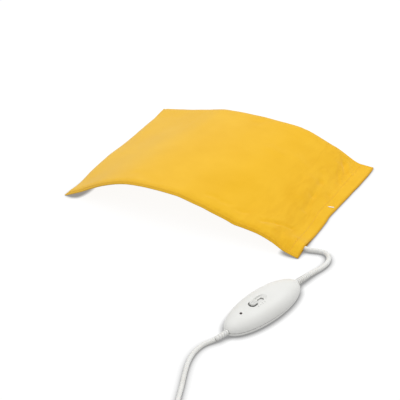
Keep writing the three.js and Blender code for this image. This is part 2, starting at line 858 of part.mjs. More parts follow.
// A round body whose stations may share a place, so that it can step square
function sweepFrames(stations, sides) {
  const rings = stations.map(({ point, radius }, index) => {
    const behind = stations.slice(0, index).reverse().find((one) => one.point.distanceTo(point) > 0);
    const ahead = stations.slice(index + 1).find((one) => one.point.distanceTo(point) > 0);
    const tangent = (ahead?.point ?? point).clone().sub(behind?.point ?? point).normalize();
    const across = new THREE.Vector3(0, 0, 1).cross(tangent).normalize();
    const up = tangent.clone().cross(across);
    return Array.from({ length: sides }, (_, side) => {
      const angle = ((side + 1 / 2) / sides) * 2 * Math.PI;
      return point.clone()
        .addScaledVector(across, radius * Math.cos(angle))
        .addScaledVector(up, radius * Math.sin(angle));
    });
  });
  return loft(rings);
}

// The circuit board, with holes for its two screws
function circuitBoard() {
  const plate = solid(block(
    [boardStart, -boardWidth / 2, boardHeight], [boardEnd, boardWidth / 2, boardTop]));
  const holes = joined(boardPosts.map(([x, y]) =>
    post(smallScrewRadius + gap, boardHeight - overrun, boardTop + overrun, x, y)));
  return geometryOf(plate.subtract(holes));
}

// Lead wires from a cord's end, over the end of the board and down to its top
function leads(sign, { count, landing }, boardEdge) {
  const top = seatHeight + leadRadius;
  const start = stubEnd - gap;
  const edge = Math.abs(boardEdge);
  return Array.from({ length: count }, (_, index) => {
    const place = index - (count - 1) / 2;
    const near = place * leadPitch;
    const far = place * landing;
    const route = [
      [start, near, exitHeight], [start - leadRadius, near, exitHeight],
      [(start + edge) / 2, (near + far) / 2, (exitHeight + top) / 2],
      [edge + leadRadius, far, top], [edge - leadReach / 2, far, top],
      [edge - leadReach, far, top],
    ].map(([x, across, z]) => new THREE.Vector3(sign * x, across, z));
    return sweep(route.map((point) => ({ point, radius: leadRadius })), wireSides);
  });
}

// Height of a shell face over a place in the controller
function domeHeight(x, y, inset) {
  const share = Math.hypot(x / (shellHalf - inset), y / (shellSide - inset));
  const rise = (1 - share ** domeExponent) ** (1 / domeExponent);
  return partLine + (shellHeight - inset - partLine) * rise;
}

// Electrical parts on the board: the long ones end beside the end screw
const partsEnd = boardEnd - partsInset;

function fuseLink() {
  const axis = seatHeight + fuseRadius;
  const start = partsEnd - fuseLength;
  return geometryOf(joined([
    bar(fuseRadius - gap, start + weld, partsEnd - weld, fusePlace, axis),
    bar(fuseRadius, start, start + fuseCap, fusePlace, axis),
    bar(fuseRadius, partsEnd - fuseCap, partsEnd, fusePlace, axis),
  ]));
}

function filmCapacitor() {
  const half = capacitorWidth / 2;
  const end = partsEnd - capacitorInset;
  const top = domeHeight(partsEnd, capacitorPlace + half, wall) - headroom;
  return block(
    [end - capacitorLength, capacitorPlace - half, seatHeight],
    [end, capacitorPlace + half, top]);
}

function triacBody() {
  const start = triacPlace - triacLength / 2;
  const end = triacPlace + triacLength / 2;
  const near = triacSide - triacWidth / 2;
  const far = triacSide + triacWidth / 2;
  return geometryOf(joined([
    block([start, near, seatHeight], [end - tabLength + weld, far, seatHeight + triacHeight]),
    block([start + weld, near + gap, seatHeight], [end, far - gap, seatHeight + tabHeight]),
  ]));
}

function diodeBody() {
  const centre = boardStart + diodeInset;
  return bar(diodeRadius, centre - diodeLength / 2, centre + diodeLength / 2,
    smallPartsPlace, seatHeight + diodeRadius, bootSides);
}

function resistors() {
  return [0, 1].map((place) => {
    const x = boardStart + resistorInset + place * resistorPitch;
    const top = domeHeight(x - resistorRadius, smallPartsPlace + resistorRadius, wall) - headroom;
    return post(resistorRadius, seatHeight, top, x, smallPartsPlace, bootSides);
  });
}

// The lamp and the lens that shows it through the shell
function roundLamp() {
  const profile = [
    [0, 0], [ledRadius + ledRim, 0], [ledRadius + ledRim, ledRim], [ledRadius, ledRim],
    [ledRadius, ledHeight - ledRadius],
  ].map(([x, y]) => new THREE.Vector2(x, y));
  for (let step = 1; step < lampSteps; step += 1) {
    const angle = (step / lampSteps) * (Math.PI / 2);
    profile.push(new THREE.Vector2(
      ledRadius * Math.cos(angle), ledHeight - ledRadius + ledRadius * Math.sin(angle)));
  }
  profile.push(new THREE.Vector2(0, ledHeight));
  return new THREE.LatheGeometry(profile, holeSides)
    .rotateX(Math.PI / 2).translate(ledPlace, 0, seatHeight);
}

function lampLens() {
  const outer = domeHeight(ledPlace, 0, 0) + lensProud;
  const seat = domeHeight(ledPlace - lensFlange, 0, wall) - gap;
  return geometryOf(joined([
    post(lensRadius, seat - lensStep, outer, ledPlace, 0),
    post(lensFlange, seat - lensStep, seat, ledPlace, 0),
  ]));
}

// The switch tray: an open box that guides the carrier
function switchTray() {
  const inner = (carrierLength + switchTravel) / 2 + 2 * gap;
  const side = carrierWidth / 2 + gap;
  const outside = solid(block(
    [recessCentre - inner - trayWall, -side - trayWall, trayBase],
    [recessCentre + inner + trayWall, side + trayWall, trayTop]));
  const inside = solid(block(
    [recessCentre - inner, -side, trayBase + trayFloor],
    [recessCentre + inner, side, trayTop + overrun]));
  return geometryOf(outside.subtract(inside));
}

// The contact strip: four contacts on one carrier
function contactStrip() {
  const end = (carrierLength + switchTravel) / 2;
  const pads = Array.from({ length: switchPlaces }, (_, place) => {
    const x = knobPlace + place * switchStep;
    return block(
      [x - contactLength / 2, -contactWidth / 2, contactBase - weld],
      [x + contactLength / 2, contactWidth / 2, contactBase + contactThickness]);
  });
  const strip = block(
    [recessCentre - end, -contactWidth / 2 - gap, contactBase - weld],
    [recessCentre + end, contactWidth / 2 + gap, contactBase]);
  return geometryOf(joined([strip, ...pads]));
}

// The wiper: a bowed leaf under the carrier
function switchWiper() {
  const bow = (share) => wiperBow * (1 - (2 * share - 1) ** 2);
  const lines = evenLines(0, 1, bowSteps);
  const face = (share, y, lift) => new THREE.Vector3(
    knobPlace + (share - 1 / 2) * wiperLength, y, wiperBase + bow(share) + lift);
  return sheet(lines, [-wiperWidth / 2, wiperWidth / 2],
    (share, y) => face(share, y, contactThickness),
    (share, y) => face(share, y, 0));
}

function switchCarrier() {
  return geometryOf(joined([
    block([knobPlace - carrierLength / 2, -carrierWidth / 2, carrierBase],
      [knobPlace + carrierLength / 2, carrierWidth / 2, carrierTop]),
    block([knobPlace - postSize / 2, -postSize / 2, carrierTop - weld],
      [knobPlace + postSize / 2, postSize / 2, shutterUnder - gap]),
  ]));
}

// The knob: a ridged thumb piece, its stem, the strip that closes the slot and two prongs
function switchKnob() {
  const top = shellHeight + knobProud;
  const base = recessFloor + gap;
  const cap = knobShares.map(([spread, rise]) => oval((knobLength / 2) * spread,
    (knobWidth / 2) * spread, THREE.MathUtils.lerp(base, top, rise), knobSides, knobExponent)
    .map((point) => point.setX(point.x + knobPlace)));
  const ridges = Array.from({ length: knobRidges }, (_, index) => {
    const x = knobPlace + (index - (knobRidges - 1) / 2) * ridgePitch;
    return new THREE.CylinderGeometry(ridgeRadius, ridgeRadius, ridgeLength, bootSides)
      .translate(x, 0, top);
  });
  const stemEnd = knobPlace - stemLength / 2;
  const slotEnd = recessCentre + slotLength / 2;
  const prong = (side) => {
    const start = knobPlace + side * (postSize / 2 + gap + prongThickness / 2);
    return block(
      [start - prongThickness / 2, -prongWidth / 2, carrierTop + gap],
      [start + prongThickness / 2, prongWidth / 2, shutterTop - weld]);
  };
  return geometryOf(joined([
    loft(cap),
    ...ridges,
    block([stemEnd, -stemWidth / 2, shutterUnder + weld],
      [stemEnd + stemLength, stemWidth / 2, base + weld]),
    block([stemEnd, -shutterWidth / 2, shutterUnder], [slotEnd + gap, shutterWidth / 2, shutterTop]),
    prong(-1),
    prong(1),
  ]));
}

// The coil's middle line: it spirals in and out by turns and climbs a layer at each reversal
function coilPath() {
  const count = Math.round(coilTurns * coilSteps);
  const layerTurns = coilTurns / coilLayers;
  const spread = coilPitch * layerTurns;
  return Array.from({ length: count + 1 }, (_, index) => {
    const turns = (index / count) * coilTurns;
    const layer = turns / layerTurns;
    const within = layer % 2;
    const inward = within < 1 ? within : 2 - within;
    const radius = coilRadius + spread / 2 - spread * inward;
    let height = mainsRadius + coilLift;
    for (let climb = 1; climb < coilLayers; climb += 1) {
      height += coilPitch * ease((turns - climb * layerTurns) * 2 + 1 / 2);
    }
    const angle = radians(coilStartAngle) - turns * 2 * Math.PI;
    return new THREE.Vector3(
      coilCentre.x + radius * Math.cos(angle), coilCentre.y + radius * Math.sin(angle), height);
  });
}

// The least gap between turns, measured on points more than half a turn apart
function leastGap(path) {
  let least = Infinity;
  for (let one = 0; one < path.length; one += 1) {
    for (let other = one + coilSteps / 2; other < path.length - 1; other += 1) {
      const line = new THREE.Line3(path[other], path[other + 1]);
      const near = line.closestPointToPoint(path[one], true, new THREE.Vector3());
      least = Math.min(least, near.distanceTo(path[one]));
    }
  }
  return least - mainsCordDiameter;
}

function mainsCoil() {
  const path = coilPath();
  console.log(`least gap of the coil to itself ${leastGap(path).toFixed(2)} mm`);
  const lead = (end, next) => end.clone()
    .add(end.clone().sub(next).setLength(mainsCordDiameter));
  const points = [lead(path[0], path[1]), ...path, lead(path.at(-1), path.at(-2))];
  return sweep(points.map((point) => ({ point, radius: mainsRadius })), coilSides);
}

// The tie: a flat band round all the turns
function coilTie() {
  const spread = coilPitch * (coilTurns / coilLayers) + mainsCordDiameter + 2 * tieSlack;
  const tall = coilPitch * (coilLayers - 1) + mainsCordDiameter + 2 * tieSlack;
  const low = coilLift - tieSlack + gap / 2;
  const ring = (grow) => block(
    [coilRadius - spread / 2 - grow, -tieWidth / 2, low - grow],
    [coilRadius + spread / 2 + grow, tieWidth / 2, low + tall + grow]);
  const through = ring(0).scale(1, 2, 1);
  const band = geometryOf(solid(ring(tieThickness)).subtract(solid(through)));
  return band.rotateZ(radians(tieAngle)).translate(coilCentre.x, coilCentre.y, 0);
}

// The plug's body: a flat moulding that narrows to its cord, with its pins' seats
function plugBody() {
  const half = plugWidth / 2 - plugBevel;
  const tail = plugTail / 2 - plugBevel;
  const length = plugLength - 2 * plugBevel;
  const shoulder = length * plugShoulderShare;
  const outline = new THREE.Shape();
  outline.moveTo(0, -half);
  outline.lineTo(0, half);
  outline.lineTo(-shoulder, half);
  outline.bezierCurveTo(-length / 2, half, -length / 2, tail, -length, tail);
  outline.lineTo(-length, -tail);
  outline.bezierCurveTo(-length / 2, -tail, -length / 2, -half, -shoulder, -half);
  const body = solid(new THREE.ExtrudeGeometry(outline, {
    depth: plugThickness - 2 * plugBevel, bevelThickness: plugBevel, bevelSize: plugBevel,
    bevelSegments: 2, curveSegments: plugSides / 2,
  }).translate(-plugBevel, 0, plugBevel));
  const axis = plugThickness / 2;
  const seats = [-1, 1].map((side) => bar(pinRadius + gap, -pinSeat - gap, overrun,
    (side * pinPitch) / 2, axis, plugSides));
  const socket = bar(mainsRadius + bootNeck + bootFlange + gap, -plugLength - overrun,
    -plugLength + plugBoot.seat + gap, 0, axis, plugSides);
  return geometryOf(body.subtract(joined([...seats, socket])));
}

function plugPins() {
  const axis = plugThickness / 2;
  return [-1, 1].map((side) => {
    const profile = [
      [0, -pinSeat], [pinRadius, -pinSeat], [pinRadius, pinLength - pinRound],
      [pinRadius - pinRound, pinLength], [0, pinLength],
    ].map(([x, y]) => new THREE.Vector2(x, y));
    return new THREE.LatheGeometry(profile, plugSides)
      .rotateZ(-Math.PI / 2).translate(0, (side * pinPitch) / 2, axis);
  });
}

function plugStrainRelief() {
  const axis = plugThickness / 2;
  const at = (x) => new THREE.Vector3(x, 0, axis);
  const root = mainsRadius + bootNeck + bootFlange;
  const start = -plugLength - plugBoot.length;
  const line = new THREE.LineCurve3(at(start), at(-plugLength - gap));
  const ribs = ribStations(line, plugBoot.ribs, mainsRadius, mainsRadius + bootNeck);
  const seat = { point: at(-plugLength + plugBoot.seat), radius: root };
  return sweepFrames([...ribs, { point: at(-plugLength - gap), radius: root }, seat], bootSides);
}

// Finishes
function finish(color, roughness, metalness = 0) {
  return () => new THREE.MeshStandardMaterial({ color, roughness, metalness });
}

const yellowCotton = finish("#f6c443", 0.9);
const fleece = finish("#f1ede2", 0.95);
const warmWhite = finish("#e9e9e4", 0.4);
const cordWhite = finish("#f2f2ee", 0.5);
const boardGreen = finish("#3c7a4e", 0.6);
const darkPlastic = finish("#33343a", 0.6);
const steel = finish("#b9bcc0", 0.35, 1);
const copper = finish("#c98f5a", 0.4, 1);
const orangeSleeve = finish("#c96f3a", 0.6);
const smokedLens = finish("#4a2c2a", 0.25);
const paleLamp = finish("#d9cfcf", 0.3);
const tanBody = finish("#c9a36a", 0.6);

// A piece is one named mesh
function piece(name, geometry, material) {
  const mesh = new THREE.Mesh(geometry, material());
  mesh.name = name;
  return mesh;
}

// Copies of one piece, numbered from 1
function pieces(name, geometries, material) {
  return geometries.map((geometry, index) => piece(`${name}_${index + 1}`, geometry, material));
}

// A group of pieces that stand together at a place
function assembly(members, place, turn) {
  const group = new THREE.Group();
  group.add(...members);
  group.position.set(place.x, place.y, 0);
  group.rotation.z = radians(turn);
  return group;
}

const pad = assembly([
  piece("cover_top_panel", coverTopPanel(), yellowCotton),
  piece("cover_bottom_panel", coverBottomPanel(), yellowCotton),
  piece("pad_top_layer", padTopLayer(), fleece),
  piece("pad_bottom_layer", padBottomLayer(), fleece),
  piece("heating_wire", heatingWire(), orangeSleeve),
  ...pieces("thermal_cutout", thermalCutouts(), darkPlastic),
  piece("cord_entry", cordEntry(), cordWhite),
], padPlace, 0);

const controller = assembly([
  piece("controller_top", controllerTop(), warmWhite),
  piece("controller_bottom", controllerBottom(), warmWhite),
  ...pieces("shell_screw", shellScrews(), steel),
  piece("circuit_board", circuitBoard(), boardGreen),
  ...pieces("board_screw", boardScrews(), steel),
  piece("switch_tray", switchTray(), darkPlastic),
  piece("contact_strip", contactStrip(), copper),
  piece("switch_wiper", switchWiper(), copper),
  piece("switch_carrier", switchCarrier(), darkPlastic),
  piece("switch_knob", switchKnob(), warmWhite),
  piece("indicator_lamp", roundLamp(), paleLamp),
  piece("indicator_lens", lampLens(), smokedLens),
  piece("fuse", fuseLink(), steel),
  piece("capacitor", filmCapacitor(), tanBody),
  piece("triac", triacBody(), darkPlastic),
  piece("diode", diodeBody(), darkPlastic),
  ...pieces("resistor", resistors(), tanBody),
  ...pieces("pad_lead", leads(1, padLeads, boardEnd), copper),
  ...pieces("mains_lead", leads(-1, mainsLeads, boardStart), copper),
  piece("pad_cord_clamp", cordClamp(1, cordRadius), darkPlastic),
  piece("mains_cord_clamp", cordClamp(-1, mainsRadius), darkPlastic),
  ...pieces("clamp_screw", clampScrews(), steel),
  piece("pad_cord_boot", boot(1, cordRadius, padBoot), cordWhite),
  piece("mains_cord_boot", boot(-1, mainsRadius, mainsBoot), cordWhite),
], controllerPlace, controllerAngle);

const plug = assembly([
  piece("plug_body", plugBody(), cordWhite),
  ...pieces("plug_pin", plugPins(), steel),
  piece("plug_boot", plugStrainRelief(), cordWhite),
], plugPlace, plugAngle);

const object = new THREE.Group();
object.add(pad, controller, plug);
object.add(
  piece("pad_cord", cord(padCordRoute, cordRadius, padCordSteps, cordSides), cordWhite),
  piece("mains_cord", cord(mainsRoute, mainsRadius, mainsSteps, cordSides), cordWhite),
  piece("mains_coil", mainsCoil(), cordWhite),
  piece("mains_tail", cord(tailRoute, mainsRadius, tailSteps, cordSides), cordWhite),
  piece("coil_tie", coilTie(), darkPlastic),
);

export default object;
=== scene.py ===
"""Looks of a heating pad in its sewn cotton cover, with a slide controller, cords, a coil and a plug.

Lengths are millimetres, in the axes of the CAD model, until a mesh is made, where they turn to metres.
Every surface is a grid: a point for each pair of two parameters, worked out as whole numpy arrays.
"""
import math

import bmesh
import bpy
import numpy as np
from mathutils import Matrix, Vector


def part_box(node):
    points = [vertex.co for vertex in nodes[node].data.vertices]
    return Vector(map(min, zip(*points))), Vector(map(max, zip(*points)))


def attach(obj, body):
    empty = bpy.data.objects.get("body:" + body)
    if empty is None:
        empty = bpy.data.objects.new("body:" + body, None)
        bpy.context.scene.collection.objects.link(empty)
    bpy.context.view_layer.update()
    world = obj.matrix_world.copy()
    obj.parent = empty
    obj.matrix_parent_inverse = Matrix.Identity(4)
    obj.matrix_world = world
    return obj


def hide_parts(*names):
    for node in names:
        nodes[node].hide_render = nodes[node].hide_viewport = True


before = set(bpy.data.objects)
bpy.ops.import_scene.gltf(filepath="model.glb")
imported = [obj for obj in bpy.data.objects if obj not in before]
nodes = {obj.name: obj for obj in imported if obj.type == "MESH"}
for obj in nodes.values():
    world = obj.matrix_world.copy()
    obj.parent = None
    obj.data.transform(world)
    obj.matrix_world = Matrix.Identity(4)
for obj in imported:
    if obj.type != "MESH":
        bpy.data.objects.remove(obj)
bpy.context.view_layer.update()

MM = 0.001
SEED = 7
PAD_BODY = "pad_and_controller"
SLIDE_BODY = "slide"

# The clearance that all pieces share, and the pad, as in the CAD
GAP = 0.3
PAD_LENGTH = 400.0
PAD_WIDTH = 300.0
HALF_WIDTH = PAD_WIDTH / 2
PAD_PLACE = (-17.0, 98.0)
FABRIC = 0.9
LAYER_END = 362.0
SLEEVE_END = 371.0
SEAM_HALF = 1.05
BULGE = 3.45
TOP_ROLL = 14.0
UNDERSIDE_ROLL = 30.0
ARCH_RISE = 50.0
FRONT_WAVE_SHARES = (0.987, 0.13, 0.0, -0.029)
BACK_WAVE_SHARES = (0.864, -0.018, -0.026, 0.023, -0.057)
CORNER_LIFT = 21.8
BACK_SHIFT = 6.7
PROFILE_STEPS = 1200

# The heating wire and the moulding on the cord's end
WIRE_RUNS = 14
WIRE_RADIUS = 1.0
WIRE_START = 29.0
WIRE_END = 350.0
WIRE_INSET = 20.0
WIRE_BACK_INSET = 21.0
ENTRY_CENTRE = -128.0
ENTRY_LENGTH = 24.0
ENTRY_HALF_WIDTH = 8.0
ENTRY_WIDTH_SHARES = (0.7, 1.0, 1.0, 0.8, 0.55, 0.42)

# The controller, in its own axes: along its length, across it, up
SHELL_HALF = 69.5
SHELL_SIDE = 25.5
SHELL_HEIGHT = 23.0
PART_LINE = 5.5
WALL = 2.2
BASE_WALL = 2.0
LIP_HEIGHT = 1.5
RIM_HEIGHT = 0.9
RIM_INSET = 0.85
BEAD_HEIGHT = 1.7
DOME_EXPONENT = 2.3
BASE_LENGTH_SHARE = 0.9
BASE_WIDTH_SHARE = 0.86
CONTROLLER_PLACE = (178.0, -180.0)
CONTROLLER_ANGLE = 74.5
BOSS_PLACES = [(x, y) for x in (-36.0, 36.0) for y in (-14.5, 14.5)]
BOSS_RADIUS = 3.6
SCREW_HOLE_RADIUS = 2.7
SCREW_FLOOR = 3.0
POST_BASE = 3.2
POST_TOP = 9.7
EXIT_HEIGHT = 6.4
RECESS_CENTRE = -13.5
RECESS_LENGTH = 27.0
RECESS_WIDTH = 10.4
RECESS_FLOOR = SHELL_HEIGHT - 2.6
RECESS_UNDER = RECESS_FLOOR - 1.4
RECESS_DRAFT = 0.7
DISH = 0.9
RUN_OUT = 5.0
SLOT_LENGTH = 25.2
SLOT_WIDTH = 6.2
KNOB_PLACE = -19.5
KNOB_LENGTH = 11.0
KNOB_WIDTH = 8.4
KNOB_PROUD = 1.6
SWITCH_STEP = 4.0
SWITCH_PLACES = 4
LENS_PLACE = -43.4
LENS_HOLE_RADIUS = 1.8

# The boots: a stub inside, a flange behind the wall, a neck through it and ribs outside
BOOT_STUB = 51.5
FLANGE_INSET = 4.2
FLANGE_THICKNESS = 2.5
FLANGE_PROUD = 0.8
NECK_PROUD = 0.3
RIB_PROUD = 0.9
BOOT_SIDES = 28

# Cords and their routes
PAD_CORD_RADIUS = 3.3
MAINS_CORD_RADIUS = 2.7
PAD_CORD_ROUTE = (
    (164.1, -30, 8.5), (169.5, -30.1, 6.8), (175.6, -30.4, 4.8), (182.4, -29.6, 3.6),
    (189.3, -27.4, 3.35), (195.9, -25.6, 3.35), (202.9, -25.6, 3.35), (209.3, -29.9, 3.35),
    (213.6, -38, 3.35), (214.9, -47, 3.35), (213.8, -56.2, 3.35), (211.2, -65.2, 3.4),
    (208, -73.6, 3.7), (205.3, -82.2, 4.35), (203.2, -89.2, 4.85),
)
MAINS_ROUTE = (
    (151.5, -263.3, 4), (149, -266.8, 3.3), (145.5, -271.6, 2.85), (142.4, -278, 2.75),
    (140.3, -286.9, 2.75), (139.6, -296.1, 2.75), (140.3, -305.7, 2.75), (142.1, -315.4, 2.75),
    (144.8, -325.1, 2.75), (148.7, -337, 2.75), (153.8, -351.5, 2.75), (159.9, -370.5, 2.75),
    (166.1, -389.1, 2.75), (172.3, -407.8, 2.9), (177.8, -423.7, 3.6), (181.5, -433.9, 3.95),
)
TAIL_ROUTE = (
    (141.8, -489.6, 21.65), (136, -489.6, 21.35), (128, -489.4, 18.8), (119, -488.9, 13.4),
    (110, -488.3, 7.4), (101, -487.6, 3.6), (92, -487.2, 3), (83, -486.9, 3.7),
    (76, -486.9, 5.3), (70, -487, 6.5), (65.2, -487.3, 6.85),
)
COIL_CENTRE = (147.3, -451.6)
COIL_RADIUS = 29.0
COIL_PITCH = 5.9
COIL_LAYERS = 4
COIL_TURNS = 12.3
COIL_START_ANGLE = 18.4
COIL_STEPS = 24
COIL_LIFT = 1.25
TIE_ANGLE = 160.0
TIE_HALF_WIDTH = 4.0
TIE_THICKNESS = 0.8
TIE_CLEARANCE = 0.5

# The plug, in its own axes: its face at 0, its cord towards -x
PLUG_PLACE = (5.1, -491.5)
PLUG_ANGLE = 184.0
PLUG_THICKNESS = 13.7
PLUG_WIDTH = 35.3
PLUG_LENGTH = 36.0
PLUG_TAIL = 13.0
GRIP_PLACE_SHARES = (0.34, 0.42, 0.5, 0.58)
RELIEF_END = 24.0
RELIEF_RIBS = 6
PIN_RADIUS = 2.0
PIN_PITCH = 19.0
PIN_LENGTH = 19.0
PIN_ROOT = 8.0
PIN_TIP = 1.2
PIN_SLEEVE = 10.0


# Numbers

def ease(share):
    """0 below 0, 1 above 1, and 3 s^2 - 2 s^3 between."""
    s = np.clip(share, 0.0, 1.0)
    return s * s * (3 - 2 * s)


def roll(distance, width):
    """A quarter circle: sqrt(1 - (1 - d / w)^2), from 0 at d = 0 to 1 at d = w."""
    s = np.clip(distance / width, 0.0, 1.0)
    return np.sqrt(1 - (1 - s) ** 2)


def bell(distance, width):
    """A smooth hump: exp(-(d / w)^2)."""
    return np.exp(-(distance / width) ** 2)


def round_turn(sides):
    """Even angles round a full circle."""
    return np.linspace(0, 2 * math.pi, sides, endpoint=False)


def quarter_turn(steps):
    """Even angles from just past 0 to a right angle."""
    return np.linspace(0, math.pi / 2, steps + 1)[1:]


def squared_circle(turn, power):
    """A circle drawn out towards its square: |c|^p and |s|^p with their signs, of the cosine and the sine."""
    c, s = np.cos(turn), np.sin(turn)
    return np.sign(c) * np.abs(c) ** power, np.sign(s) * np.abs(s) ** power


def spaced(*stretches):
    """Places in rising order, from stretches that each give a start, an end and a count."""
    return np.unique(np.concatenate([np.linspace(*stretch) for stretch in stretches]))


def stack(*coordinates):
    """Arrays of coordinates to one array of points."""
    return np.stack(np.broadcast_arrays(*coordinates), -1)


def unit(vectors):
    """Vectors made one long."""
    return vectors / np.linalg.norm(vectors, axis=-1, keepdims=True)


def run_along(points):
    """The length of the line through the points, up to each of them."""
    return np.concatenate([[0], np.cumsum(np.linalg.norm(np.diff(points, axis=0), axis=1))])


def between(at, run, points):
    """Points read off at places along a run, straight between the given ones."""
    return np.stack([np.interp(at, run, points[:, k]) for k in range(points.shape[1])], -1)


def placed(points, angle, place):
    """Turned by an angle in degrees about the upright axis, then moved along the floor."""
    c, s = math.cos(math.radians(angle)), math.sin(math.radians(angle))
    x, y, z = np.moveaxis(np.asarray(points, float), -1, 0)
    return stack(c * x - s * y + place[0], s * x + c * y + place[1], z)


def in_controller(points):
    """From the controller's own axes to the frame's."""
    return placed(points, CONTROLLER_ANGLE, CONTROLLER_PLACE)


def in_plug(points):
    """From the plug's own axes to the frame's."""
    return placed(points, PLUG_ANGLE, PLUG_PLACE)


def smooth_line(route, spacing):
    """A Catmull-Rom curve through the route's points, cut into even lengths of about the spacing.

    Between P1 and P2: (2 P1 + (P2 - P0) t + (2 P0 - 5 P1 + 4 P2 - P3) t^2 + (3 P1 - P0 - 3 P2 + P3) t^3) / 2.
    """
    p = np.asarray(route, float)
    p = np.vstack([2 * p[0] - p[1], p, 2 * p[-1] - p[-2]])
    t = np.linspace(0, 1, 24, endpoint=False)[None, :, None]
    a, b, c, d = (p[k:len(p) - 3 + k][:, None, :] for k in range(4))
    fine = (2 * b + (c - a) * t + (2 * a - 5 * b + 4 * c - d) * t ** 2
            + (3 * b - a - 3 * c + d) * t ** 3) / 2
    fine = np.vstack([fine.reshape(-1, 3), p[-2]])
    run = run_along(fine)
    even = np.linspace(0, run[-1], max(int(round(run[-1] / spacing)), 2) + 1)
    return between(even, run, fine), even


def coil_points():
    """Round turns: the radius falls and rises layer by layer, and the height eases up at each reversal."""
    turns = np.linspace(0, COIL_TURNS, int(round(COIL_TURNS * COIL_STEPS)) + 1)
    layer_turns = COIL_TURNS / COIL_LAYERS
    band = COIL_PITCH * layer_turns
    within = np.mod(turns / layer_turns, 2)
    radius = COIL_RADIUS + band / 2 - band * np.minimum(within, 2 - within)
    height = MAINS_CORD_RADIUS + COIL_LIFT + sum(
        COIL_PITCH * ease((turns - climb * layer_turns) * 2 + 0.5) for climb in range(1, COIL_LAYERS))
    angle = math.radians(COIL_START_ANGLE) - turns * 2 * math.pi
    return stack(COIL_CENTRE[0] + radius * np.cos(angle), COIL_CENTRE[1] + radius * np.sin(angle), height)


# Meshes

def grid_faces(rows, columns, wrap_rows=False, wrap_columns=False):
    """Quads (i, j), (i, j+1), (i+1, j+1), (i+1, j), carried round to the start where the grid closes."""
    i = np.arange(rows if wrap_rows else rows - 1)[:, None]
    j = np.arange(columns if wrap_columns else columns - 1)[None, :]
    ni, nj = (i + 1) % rows, (j + 1) % columns
    return stack(i * columns + j, i * columns + nj, ni * columns + nj, ni * columns + j).reshape(-1, 4)


def shutting_faces(start, side, last):
    """Quads that shut a flattened loop: its first columns are joined to the last, beneath them."""
    k = np.arange(side - 1)
    return np.stack([start + k, start + k + 1, start + last - 1 - k, start + last - k], -1)


def in_scene(name, data):
    """A new object in the scene."""
    made = bpy.data.objects.new(name, data)
    bpy.context.scene.collection.objects.link(made)
    return made


def shaded(mesh, sharp):
    """Smooth shading, with creases past the sharp angle in degrees."""
    mesh.shade_smooth()
    mesh.set_sharp_from_angle(angle=math.radians(sharp))


def make_piece(name, points, quads, triangles=(), uv=None, sharp=38):
    """A mesh object from points in millimetres: doubles merged, faces turned outwards, then shaded.

    The UV map holds lengths in metres, one pair for each point.
    """
    faces = np.asarray(quads).tolist() + np.asarray(triangles).tolist()
    mesh = bpy.data.meshes.new(name)
    mesh.from_pydata((np.asarray(points, float).reshape(-1, 3) * MM).tolist(), [], faces)
    if uv is not None:
        corners = np.concatenate([np.ravel(quads), np.ravel(triangles)]).astype(int)
        flat = uv.reshape(-1, 2)[corners]
        mesh.uv_layers.new(name="lengths").data.foreach_set("uv", flat.astype(np.float32).ravel())
    mesh.validate()
    work = bmesh.new()
    work.from_mesh(mesh)
    bmesh.ops.remove_doubles(work, verts=work.verts, dist=2e-6)
    bmesh.ops.recalc_face_normals(work, faces=work.faces)
    work.to_mesh(mesh)
    work.free()
    shaded(mesh, sharp)
    return in_scene(name, mesh)


def rings_piece(name, rings, closed=False, sharp=38):
    """A surface through rings of points: closed into a loop of rings, or with a fan at each end."""
    rings = np.asarray(rings, float)
    rows, columns = rings.shape[:2]
    quads = grid_faces(rows, columns, wrap_rows=closed, wrap_columns=True)
    if closed:
        return make_piece(name, rings, quads, sharp=sharp)
    j = np.arange(columns)
    hub = rows * columns
    fans = [stack(row * columns + j, row * columns + (j + 1) % columns, middle)
            for row, middle in ((0, hub), (rows - 1, hub + 1))]
    points = np.vstack([rings.reshape(-1, 3), rings[0].mean(0), rings[-1].mean(0)])
    return make_piece(name, points, quads, np.vstack(fans), sharp=sharp)


def sections(path, direction, radius, sides):
    """Round sections square to a path that never stands upright: P + r (cos a A + sin a B).

    T is the direction made one long, A = Z x T made one long, B = T x A.
    """
    direction = unit(direction)
    across = unit(np.cross([0.0, 0.0, 1.0], direction))
    up = np.cross(direction, across)
    angle = round_turn(sides)[None, :, None]
    size = np.broadcast_to(radius, len(path))[:, None, None]
    return path[:, None] + size * (np.cos(angle) * across[:, None] + np.sin(angle) * up[:, None])


def tube_rings(path, radius, sides):
    """Sections along a smooth path. The radius is one number or one for each point."""
    return sections(path, np.gradient(path, axis=0), radius, sides)


def stepped_rings(path, radius, sides):
    """Sections along a path whose points may share a place, so that the radius can step square."""
    run = run_along(path)
    apart = run + np.arange(len(run)) * 1e-6
    even = np.linspace(apart[0], apart[-1], 400)
    slope = np.gradient(between(even, apart, path), axis=0)
    return sections(path, between(apart, even, slope), radius, sides)


def box_rings(low, high, edge):
    """A block with its edges cut off at 45 degrees: four rings of eight points."""
    rings = []
    for z, inset in ((low[2], edge), (low[2] + edge, 0), (high[2] - edge, 0), (high[2], edge)):
        x0, x1, y0, y1 = low[0] + inset, high[0] - inset, low[1] + inset, high[1] - inset
        rings.append([(x0 + edge, y0, z), (x1 - edge, y0, z), (x1, y0 + edge, z), (x1, y1 - edge, z),
                      (x1 - edge, y1, z), (x0 + edge, y1, z), (x0, y1 - edge, z), (x0, y0 + edge, z)])
    return rings


def rod(start, end, radius):
    """Two rings of 32 points round a straight bar that lies lengthwise or stands upright."""
    line = np.asarray([start, end], float)
    direction = unit(line[1] - line[0])
    side = unit(np.cross(direction, [0.0, 1.0, 0.0]))
    other = np.cross(direction, side)
    angle = round_turn(32)[None, :, None]
    return line[:, None] + radius * (np.cos(angle) * side + np.sin(angle) * other)


